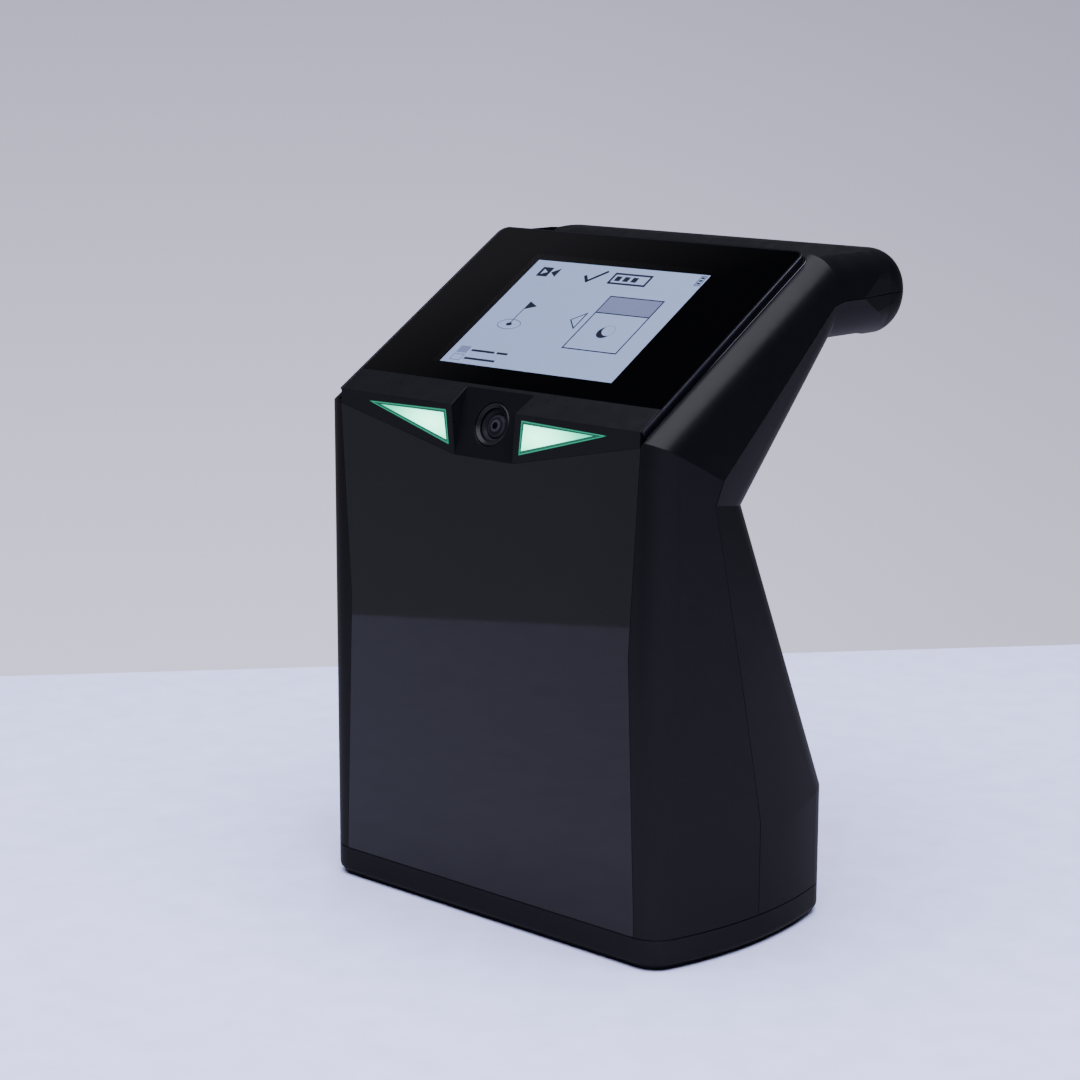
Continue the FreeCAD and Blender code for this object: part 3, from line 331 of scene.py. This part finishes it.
# How late the mirroring grows towards grazing, over black and in the clear window.
MIRROR_POWER, CLEAR_POWER = 5.0, 9.0


def new_material(name):
    material = bpy.data.materials.new(name)
    material.use_nodes = True
    tree = material.node_tree
    return material, tree.nodes, tree.links, tree.nodes["Principled BSDF"]


def fine_normal(nodes, links, grain, depth, stretch, edge):
    """A fine grain, over edges that are softened by a radius in millimetres."""
    bump = nodes.new("ShaderNodeBump")
    bump.inputs["Strength"].default_value = 1.0
    bump.inputs["Distance"].default_value = depth * MM
    links.new(noise(nodes, links, grain, detail=2.0, stretch=stretch), bump.inputs["Height"])
    if edge:
        soft = nodes.new("ShaderNodeBevel")
        soft.samples = 6
        soft.inputs["Radius"].default_value = edge * MM
        links.new(soft.outputs[0], bump.inputs["Normal"])
    return bump.outputs[0]


def surface(name, colour, rough, spread=0.04, grain=3000.0, depth=0.01, mottle=0.12,
            metallic=0.0, ior=1.5, coat=0.0, stretch=None, edge=0.0, tint=(1.0, 1.0, 1.0),
            mirror=None, glow=None):
    """A moulded or machined surface: mottled colour, uneven gloss and a fine grain.

    Depth is the grain's, and edge is a soft edge's, in millimetres. Mirror, if given, is a pair
    of shares of mirrored light, straight on and added towards grazing, that take the place of the
    ones that the IOR gives. Glow, if given, is the colour of its own light.
    """
    material, nodes, links, shader = new_material(name)
    patches = noise(nodes, links, PATCH_CELLS, stretch=stretch)
    ends = [(*(part * (1 + swing) for part in colour), 1.0) for swing in (-mottle, mottle)]
    links.new(mix_colours(nodes, links, "MIX", patches, *ends), shader.inputs["Base Color"])
    gloss = noise(nodes, links, GLOSS_CELLS, detail=5.0, stretch=stretch)
    roughness = rescale(nodes, links, gloss, 0.3, 0.7, rough - spread, rough + spread)
    links.new(roughness, shader.inputs["Roughness"])
    shader.inputs["Metallic"].default_value = metallic
    shader.inputs["IOR"].default_value = ior
    shader.inputs["Specular Tint"].default_value = (*tint, 1.0)
    if coat:
        shader.inputs["Coat Weight"].default_value = coat
        shader.inputs["Coat Roughness"].default_value = 0.05
    if glow:
        shader.inputs["Emission Color"].default_value = (*glow, 1.0)
        shader.inputs["Emission Strength"].default_value = 1.0
    normal = fine_normal(nodes, links, grain, depth, stretch, edge)
    links.new(normal, shader.inputs["Normal"])
    if mirror:
        shader.inputs["Specular IOR Level"].default_value = 0.0
        mirrored = nodes.new("ShaderNodeBsdfGlossy")
        mirrored.inputs["Color"].default_value = (*tint, 1.0)
        links.new(roughness, mirrored.inputs["Roughness"])
        links.new(normal, mirrored.inputs["Normal"])
        share = mirror_share(nodes, links, *mirror, MIRROR_POWER)
        both = mix_shaders(nodes, links, share, shader.outputs[0], mirrored.outputs[0])
        links.new(both, nodes["Material Output"].inputs["Surface"])
    return material


def pane(name, rough, mirror, window, outwards):
    """Cover glass: a mirror that grows towards grazing, over black with a clear window in it.

    The window is a pair of opposite corners, of which X and Z count. Only the outer face, which
    looks outwards, is black: from below all of it is clear, so that what lies under the window's
    edge mirrors as the rest does.
    """
    material, nodes, links, shader = new_material(name)
    nodes.remove(shader)
    place = nodes.new("ShaderNodeSeparateXYZ")
    links.new(object_place(nodes), place.inputs[0])
    low, high = window
    within = [calc(nodes, links, "COMPARE", place.outputs[axis], (first + last) / 2,
                   (last - first) / 2)
              for axis, first, last in (("X", low.x, high.x), ("Z", low.z, high.z))]
    face = nodes.new("ShaderNodeNewGeometry")
    lean = vector_calc(nodes, links, "DOT_PRODUCT", face.outputs["True Normal"], outwards)
    clearness = calc(nodes, links, "MULTIPLY", *within)
    for reason in (face.outputs["Backfacing"], calc(nodes, links, "LESS_THAN", lean, 0.5)):
        clearness = calc(nodes, links, "MAXIMUM", clearness, reason)
    black = nodes.new("ShaderNodeBsdfDiffuse")
    black.inputs["Color"].default_value = (*MASK_BLACK, 1.0)
    clear = nodes.new("ShaderNodeBsdfTransparent")
    gloss = nodes.new("ShaderNodeBsdfGlossy")
    gloss.inputs["Roughness"].default_value = rough
    masked = mix_shaders(nodes, links, mirror_share(nodes, links, *mirror, MIRROR_POWER),
                         black.outputs[0], gloss.outputs[0])
    opening = mix_shaders(nodes, links, mirror_share(nodes, links, 0.0, 1.0, CLEAR_POWER),
                          clear.outputs[0], gloss.outputs[0])
    links.new(mix_shaders(nodes, links, clearness, masked, opening),
              nodes["Material Output"].inputs["Surface"])
    return material


def glowing(name, centre, reach, stops, strength):
    """A light whose colour runs outwards from its centre, faster up and down than across."""
    material, nodes, links, shader = new_material(name)
    offset = vector_calc(nodes, links, "SUBTRACT", object_place(nodes), centre)
    squashed = vector_calc(nodes, links, "MULTIPLY", offset, (1.0, 0.0, GLOW_SQUASH))
    distance = vector_calc(nodes, links, "LENGTH", squashed)
    colour = ramp_over(nodes, links, rescale(nodes, links, distance, 0.0, reach), stops)
    links.new(colour, shader.inputs["Emission Color"])
    shader.inputs["Emission Strength"].default_value = strength
    shader.inputs["Base Color"].default_value = (0.02, 0.03, 0.025, 1.0)
    shader.inputs["Roughness"].default_value = 0.15
    shader.inputs["IOR"].default_value = 1.2
    return material


def lens_finish():
    """Coated glass with the pupil and the inner barrel seen as rings round its axis."""
    material, nodes, links, shader = new_material("lens_glass")
    radius = distance_from_axis(nodes, links, LENS_SPOT, LENS_AXIS)
    stops = [
        (0.0, (0.002, 0.001, 0.002)),
        (0.26, (0.003, 0.002, 0.003)),
        (0.30, (0.030, 0.028, 0.028)),
        (0.46, (0.036, 0.034, 0.034)),
        (0.50, (0.010, 0.009, 0.010)),
        (0.70, (0.012, 0.011, 0.012)),
        (0.78, (0.030, 0.028, 0.029)),
        (0.90, (0.012, 0.011, 0.012)),
        (1.0, (0.006, 0.006, 0.006)),
    ]
    outer = 4.6 * MM
    rings = ramp_over(nodes, links, rescale(nodes, links, radius, 0.0, outer), stops)
    links.new(rings, shader.inputs["Base Color"])
    shader.inputs["Roughness"].default_value = 0.08
    shader.inputs["IOR"].default_value = 1.06
    return material


def board_finish():
    """Solder mask with lighter copper runs under it."""
    material, nodes, links, shader = new_material("circuit_board")
    cells = nodes.new("ShaderNodeTexBrick")
    links.new(object_place(nodes), cells.inputs["Vector"])
    cells.inputs["Scale"].default_value = 260.0
    cells.inputs["Mortar Size"].default_value = 0.05
    cells.inputs["Color1"].default_value = (0.004, 0.045, 0.018, 1.0)
    cells.inputs["Color2"].default_value = (0.006, 0.06, 0.025, 1.0)
    cells.inputs["Mortar"].default_value = (0.03, 0.14, 0.06, 1.0)
    links.new(cells.outputs["Color"], shader.inputs["Base Color"])
    shader.inputs["Roughness"].default_value = 0.35
    return material


# ---------------------------------------------------------------- meshes

def new_piece(name, mesh, material, body):
    piece = bpy.data.objects.new(name, mesh)
    bpy.context.scene.collection.objects.link(piece)
    mesh.materials.append(material)
    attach(piece, body)


def finished_mesh(name, shape):
    """Turns a bmesh into a mesh whose faces all look outwards."""
    bmesh.ops.recalc_face_normals(shape, faces=shape.faces)
    mesh = bpy.data.meshes.new(name)
    shape.to_mesh(mesh)
    shape.free()
    return mesh


def prisms(outlines, place, thick):
    """One mesh of flat prisms. Each outline is a list of (x, y); place maps (x, y, z) to a spot."""
    shape = bmesh.new()
    for outline in outlines:
        low = [shape.verts.new(place(x, y, 0.0)) for x, y in outline]
        high = [shape.verts.new(place(x, y, thick)) for x, y in outline]
        shape.faces.new(high)
        shape.faces.new(list(reversed(low)))
        for index in range(len(outline)):
            after = (index + 1) % len(outline)
            shape.faces.new((low[index], low[after], high[after], high[index]))
    return finished_mesh("prisms", shape)


def bead(path, rise, radius, sides=8):
    """A round bead that follows a path on the glass plane. All its sizes are in millimetres."""
    shape = bmesh.new()
    rings = []
    for index, spot in enumerate(path):
        before, after = path[max(index - 1, 0)], path[min(index + 1, len(path) - 1)]
        step = Vector((after[0] - before[0], after[1] - before[1])).normalized()
        ring = []
        for side in range(sides):
            angle = 2 * math.pi * side / sides
            out = radius * math.cos(angle)
            ring.append(shape.verts.new(on_glass(spot[0] - step.y * out, spot[1] + step.x * out,
                                                 rise + radius * math.sin(angle))))
        rings.append(ring)
    for ring, following in zip(rings, rings[1:]):
        for side in range(sides):
            after = (side + 1) % sides
            face = shape.faces.new((ring[side], ring[after], following[after], following[side]))
            face.smooth = True
    shape.faces.new(rings[0])
    shape.faces.new(list(reversed(rings[-1])))
    return finished_mesh("bead", shape)


def bar(start, end, width):
    """A straight stroke with square ends."""
    half = Vector((end[0] - start[0], end[1] - start[1])).normalized() * width / 2
    side = Vector((-half.y, half.x))
    first, last = Vector(start), Vector(end)
    return [tuple(first - side), tuple(last - side), tuple(last + side), tuple(first + side)]


def loop_strokes(corners, width):
    """Strokes round a closed outline, each one lengthened to square off its corners."""
    strokes = []
    for index, start in enumerate(corners):
        end = corners[(index + 1) % len(corners)]
        step = (Vector(end) - Vector(start)).normalized() * width / 2
        strokes.append(bar(tuple(Vector(start) - step), tuple(Vector(end) + step), width))
    return strokes


def arc_strokes(centre, radii, width, start, end, count):
    """A ring or part of one, as short quads. The width may be a pair, for its ends and middle."""
    first, last = width if isinstance(width, tuple) else (width, width)
    quads = []
    for index in range(count):
        corners = []
        for step, sign in ((index, -1), (index + 1, -1), (index + 1, 1), (index, 1)):
            share = step / count
            angle = math.radians(start + (end - start) * share)
            swell = (first + (last - first) * math.sin(math.pi * share)) / 2 * sign
            corners.append((centre[0] + (radii[0] + swell) * math.cos(angle),
                            centre[1] + (radii[1] + swell) * math.sin(angle)))
        quads.append(corners)
    return quads


def disc(centre, radii, count=32):
    return [(centre[0] + radii[0] * math.cos(2 * math.pi * index / count),
             centre[1] + radii[1] * math.sin(2 * math.pi * index / count))
            for index in range(count)]


def rectangle(low, high):
    return [(low[0], low[1]), (high[0], low[1]), (high[0], high[1]), (low[0], high[1])]


# ---------------------------------------------------------------- marks on the screen

# Outlines in millimetres across and up the slope, as generic shapes: nothing here is lettering.
MARK_THICK = 0.04
HOLE, BALL = (-27.0, 48.4), (20.0, 50.4)
DARK_MARKS = {
    "video camera": [
        rectangle((-36.7, 77.7), (-31.3, 83.3)),
        [(-30.9, 80.5), (-27.4, 78.0), (-27.4, 83.2)],
    ],
    "flag in its hole": [
        [(-27.0, 57.6), (-22.0, 60.0), (-27.0, 62.5)],
        disc(HOLE, (1.4, 0.9)),
        bar(HOLE, (-27.0, 58.0), 0.4),
    ],
    "outline of the area round the ball, and the line across it": [
        bar((7.2, 60.3), (32.6, 60.3), 0.5),
        *loop_strokes([(7.1, 39.0), (32.7, 39.0), (32.7, 70.1), (7.1, 70.1)], 0.55),
    ],
    "pointer beside the area": loop_strokes([(-0.8, 54.6), (3.9, 59.2), (3.9, 50.1)], 0.5),
    "crescent on the ball's dark side": arc_strokes(BALL, (3.1, 3.1), (0.3, 2.2), 140.0, 310.0, 24),
    "tick in place of a word": [
        bar((-13.4, 80.6), (-10.2, 77.0), 1.3),
        bar((-10.8, 77.0), (-4.4, 84.2), 1.3),
    ],
    "battery outline in place of a word": [
        *loop_strokes([(0.0, 77.6), (17.4, 77.6), (17.4, 83.4), (0.0, 83.4)], 1.0),
        *[rectangle((1.6 + 4.0 * index, 79.1), (4.2 + 4.0 * index, 81.9)) for index in range(3)],
    ],
    "small gauge in the corner": [
        *loop_strokes([(38.9, 80.9), (41.3, 80.9), (41.3, 86.4), (38.9, 86.4)], 0.3),
        *[rectangle((39.4, 81.6 + 1.6 * index), (40.8, 82.6 + 1.6 * index)) for index in range(3)],
    ],
    "bars in place of the key's words": [
        bar((-32.4, 31.6), (-20.8, 31.6), 1.1),
        bar((-19.6, 31.6), (-14.2, 31.6), 1.1),
        bar((-32.4, 26.9), (-17.0, 26.9), 1.1),
    ],
}
PALE_MARKS = {
    "shaded far part of the area": [rectangle((7.3, 60.5), (32.5, 69.9))],
    "shaded square of the key": [rectangle((-39.0, 29.7), (-33.8, 33.5))],
    "ring round the hole": arc_strokes(HOLE, (5.5, 2.85), 0.5, 0.0, 360.0, 48),
    "light side of the ball": arc_strokes(BALL, (3.3, 3.3), 0.2, -60.0, 150.0, 24),
    "open square of the key": loop_strokes(
        [(-38.8, 25.4), (-33.9, 25.4), (-33.9, 28.7), (-38.8, 28.7)], 0.4),
}
PLAY_MARK = [(-35.2, 78.9), (-32.6, 80.5), (-35.2, 82.1)]


def ink(name, colour):
    return surface(name, colour, 0.6, depth=0.0, ior=1.05)


def outlines_of(marks):
    return [outline for mark in marks.values() for outline in mark]


def add_screen_marks():
    new_piece("screen_marks_dark", prisms(outlines_of(DARK_MARKS), on_panel, MARK_THICK),
              ink("screen_ink", (0.010, 0.011, 0.014)), BODY)
    new_piece("screen_marks_pale", prisms(outlines_of(PALE_MARKS), on_panel, MARK_THICK * 0.7),
              ink("screen_ink_pale", (0.105, 0.118, 0.155)), BODY)
    new_piece("screen_marks_play",
              prisms([PLAY_MARK], lambda x, y, z: on_panel(x, y, z + MARK_THICK), MARK_THICK / 2),
              ink("screen_ink_gap", (0.20, 0.235, 0.32)), BODY)


# ---------------------------------------------------------------- beads round the display

# The beads' radii and places in millimetres.
RIM_RADIUS, RIM_INWARDS = 0.24, 0.12
SHELL_RADIUS, SHELL_OUTWARDS, SHELL_START, SHELL_RISE = 0.22, 0.45, 0.5, -3.0


def rim_path(start, outwards):
    """Up the left side, round the two upper corners and down the right side, in millimetres."""
    radius = MODULE_CORNER + outwards
    half, top = MODULE_HALF - MODULE_CORNER, MODULE_LENGTH - MODULE_CORNER
    path = [(-half - radius, start)]
    for middle, first in ((-half, 180.0), (half, 90.0)):
        for step in range(7):
            angle = math.radians(first - 15.0 * step)
            path.append((middle + radius * math.cos(angle), top + radius * math.sin(angle)))
    return path + [(half + radius, start)]


def add_beads():
    """One bead on the rim's edge, and one where the head's shell meets the rim."""
    gloss = surface("bead_gloss", (0.004, 0.004, 0.005), 0.14, spread=0.02, grain=4000.0,
                    depth=0.001)
    new_piece("rim_bead", bead(rim_path(GLASS_START, -RIM_INWARDS), -RIM_RADIUS, RIM_RADIUS),
              gloss, BODY)
    new_piece("shell_bead", bead(rim_path(SHELL_START, SHELL_OUTWARDS), SHELL_RISE, SHELL_RADIUS),
              gloss, BODY)


# ---------------------------------------------------------------- status lights

# The glow's centre on the right side and its reach, in metres, and how much sooner it fades
# up and down than across.
GLOW_PLACE = Vector((0.0265, 0.0, 0.1836))
GLOW_REACH = 0.031
GLOW_SQUASH = 2.2
GLOW_STOPS = [
    (0.0, (0.30, 1.0, 0.68)),
    (0.28, (0.17, 0.80, 0.52)),
    (0.62, (0.018, 0.41, 0.24)),
    (0.95, (0.0, 0.16, 0.09)),
]
GLOW_STRENGTH = 5.6
HALO_STOPS = [
    (0.0, (0.0, 0.42, 0.23)),
    (0.5, (0.0, 0.34, 0.18)),
    (1.0, (0.0, 0.20, 0.10)),
]
HALO_STRENGTH = 0.4

# The wedge in millimetres, and the parts of an inset that lower its tip and raise its low corner.
INNER_LEAN = 1.4
TIP_DROP = 1.0
LINE_WIDTH = 0.36
TIP_PART, LOW_PART = 0.55, 1.35


def wedge(sign, shrink, tip_shrink):
    """A status light's outline in X and Z, set in from the CAD lens, for a side by its sign.

    The tip is set in by its own amount. Both are in millimetres.
    """
    low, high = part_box("status_lens_right")
    inset = shrink * MM
    corners = [
        (high.x - tip_shrink * MM, high.z - TIP_DROP * MM - inset * TIP_PART),
        (low.x + INNER_LEAN * MM + inset, high.z - inset),
        (low.x + inset, low.z + inset * LOW_PART),
    ]
    return [(sign * across, height) for across, height in corners]


def lit_resin(name, colour, glow):
    return surface(name, colour, 0.2, grain=4000.0, depth=0.002, glow=glow)


lens_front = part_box("status_lens_right")[0].y


def add_status_light(side, sign, line_resin):
    """A halo and a bright core on the lens, with a thin lit line round them."""
    place = on_front(lens_front)
    centre = (sign * GLOW_PLACE.x, GLOW_PLACE.y, GLOW_PLACE.z)
    glow = glowing(f"status_glow_{side}", centre, GLOW_REACH, GLOW_STOPS, GLOW_STRENGTH)
    halo = glowing(f"status_halo_{side}", centre, GLOW_REACH, HALO_STOPS, HALO_STRENGTH)
    new_piece(f"status_halo_{side}", prisms([wedge(sign, 0.80, 2.8)], place, 0.03 * MM), halo,
              BODY)
    new_piece(f"status_glow_{side}", prisms([wedge(sign, 1.35, 6.6)], place, 0.06 * MM), glow,
              BODY)
    ring = loop_strokes(wedge(sign, LINE_WIDTH, 1.2), LINE_WIDTH * MM)
    new_piece(f"status_line_{side}", prisms(ring, place, 0.02 * MM), line_resin, BODY)


# ---------------------------------------------------------------- mark on the power button

def add_power_mark():
    grey = surface("control_mark", (0.30, 0.30, 0.31), 0.55, depth=0.002)
    mark = [*arc_strokes((0.0, -0.2), (2.3, 2.3), 0.5, 125.0, 415.0, 28),
            bar((0.0, 0.3), (0.0, 2.7), 0.5)]
    new_piece("power_mark", prisms(mark, on_back("power_button"), 0.03), grey, BUTTON)


# ---------------------------------------------------------------- finishes of the CAD nodes

# A soft edge in millimetres, the sheen's tint, and pairs of mirrored shares for surface().
EDGE = 0.3
WARM = (1.0, 0.92, 0.77)
SATIN = (0.0097, 0.13)
BEZEL_SATIN = (0.0115, 0.10)
DULL_SATIN = (0.009, 0.05)
GLASS_MIRROR, GLASS_ROUGH = (0.012, 0.988), 0.012
MOULD_BLACK = (0.0034, 0.0034, 0.0036)
MASK_BLACK = (0.0005, 0.0005, 0.0006)
MOULD_GRAIN = 4200.0
WINDOW_MARGIN = 1.8


def screen_window():
    """Two opposite corners of the glass's clear window, a little larger than the screen."""
    low = on_glass(-SCREEN_HALF - WINDOW_MARGIN, SCREEN_START - WINDOW_MARGIN, 0.0)
    high = on_glass(SCREEN_HALF + WINDOW_MARGIN, SCREEN_START + SCREEN_LENGTH + WINDOW_MARGIN, 0.0)
    return low, high


def moulded(name, colour, rough, depth, mirror, edge=EDGE, spread=0.03):
    """Black moulded plastic with a warm sheen."""
    return surface(name, colour, rough, spread=spread, grain=MOULD_GRAIN, depth=depth, edge=edge,
                   tint=WARM, mirror=mirror)


def shell_finishes():
    return {
        "housing_plastic": moulded("housing_plastic", MOULD_BLACK, 0.34, 0.004, SATIN),
        "base_plastic": moulded("base_plastic", MOULD_BLACK, 0.36, 0.005, SATIN),
        "bezel_plastic": moulded("bezel_plastic", (0.0050, 0.0052, 0.0052), 0.30, 0.004,
                                 BEZEL_SATIN),
        "sole_rubber": surface("sole_rubber", (0.0045, 0.0045, 0.0050), 0.75, spread=0.06,
                               grain=1800.0, depth=0.04, ior=1.3),
        "window_acrylic": surface("window_acrylic", (0.0034, 0.0044, 0.0044), 0.035, spread=0.01,
                                  grain=60.0, depth=0.0, ior=1.272, tint=(1.0, 0.84, 0.66)),
        "seal_foam": surface("seal_foam", (0.008, 0.008, 0.008), 0.9, grain=2500.0, depth=0.06),
        "frame_plastic": surface("frame_plastic", (0.011, 0.011, 0.012), 0.5),
        "button_plastic": surface("button_plastic", (0.016, 0.016, 0.018), 0.46, grain=3600.0,
                                  depth=0.006),
        "flap_plastic": surface("flap_plastic", (0.013, 0.013, 0.014), 0.6, grain=2600.0,
                                depth=0.02),
        "screw_steel": surface("screw_steel", (0.10, 0.10, 0.105), 0.34, metallic=1.0),
    }


def display_finishes():
    return {
        "rim_plastic": surface("rim_plastic", (0.003, 0.003, 0.0035), 0.16, spread=0.03,
                               grain=MOULD_GRAIN, depth=0.001, ior=1.3, edge=EDGE),
        "cover_glass": pane("cover_glass", GLASS_ROUGH, GLASS_MIRROR, screen_window(),
                            OUT_OF_GLASS),
        "mask_ink": surface("mask_ink", MASK_BLACK, GLASS_ROUGH, spread=0.0, depth=0.0,
                            mottle=0.0, mirror=GLASS_MIRROR),
        "paper_screen": surface("paper_screen", (0.160, 0.203, 0.255), 0.55, spread=0.05,
                                grain=6000.0, depth=0.003, mottle=0.02),
        "light_lens": lit_resin("status_rim", (0.0, 0.05, 0.03), (0.003, 0.055, 0.026)),
        "camera_plastic": moulded("camera_plastic", (0.010, 0.010, 0.010), 0.45, 0.003,
                                  DULL_SATIN, edge=0.0, spread=0.04),
        "ring_gloss": moulded("ring_gloss", (0.008, 0.008, 0.008), 0.34, 0.001, DULL_SATIN,
                              edge=0.0, spread=0.04),
        "lens_glass": lens_finish(),
    }


def inner_finishes():
    return {
        "circuit_board": board_finish(),
        "ribbon_film": surface("ribbon_film", (0.16, 0.06, 0.01), 0.3, coat=0.3),
        "antenna_foil": surface("antenna_foil", (0.55, 0.42, 0.25), 0.35, metallic=1.0),
        "chassis_alloy": surface("chassis_alloy", (0.55, 0.56, 0.58), 0.38, metallic=1.0,
                                 stretch=(1.0, 1.0, 14.0)),
        "emitter_resin": surface("emitter_resin", (0.02, 0.01, 0.025), 0.12, coat=0.5),
        "battery_wrap": surface("battery_wrap", (0.03, 0.06, 0.16), 0.32),
        "bracket_steel": surface("bracket_steel", (0.56, 0.56, 0.57), 0.34, metallic=1.0,
                                 stretch=(9.0, 1.0, 1.0)),
    }


FINISH_OF_NODE = {"base_cover": "base_plastic"}


def dress_nodes():
    """Gives each CAD node the finish of its slot, or its own where it has one."""
    finishes = {**shell_finishes(), **display_finishes(), **inner_finishes()}
    for name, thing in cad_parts.items():
        thing.data.materials[0] = finishes[FINISH_OF_NODE.get(name, slot_of_node[name])]


# ---------------------------------------------------------------- build

add_camera()
add_world()
add_table()
add_softbox()
add_screen_marks()
add_beads()
line_resin = lit_resin("status_line", (0.0, 0.10, 0.05), (0.0, 0.34, 0.15))
for side, sign in (("left", -1.0), ("right", 1.0)):
    add_status_light(side, sign, line_resin)
add_power_mark()
dress_nodes()
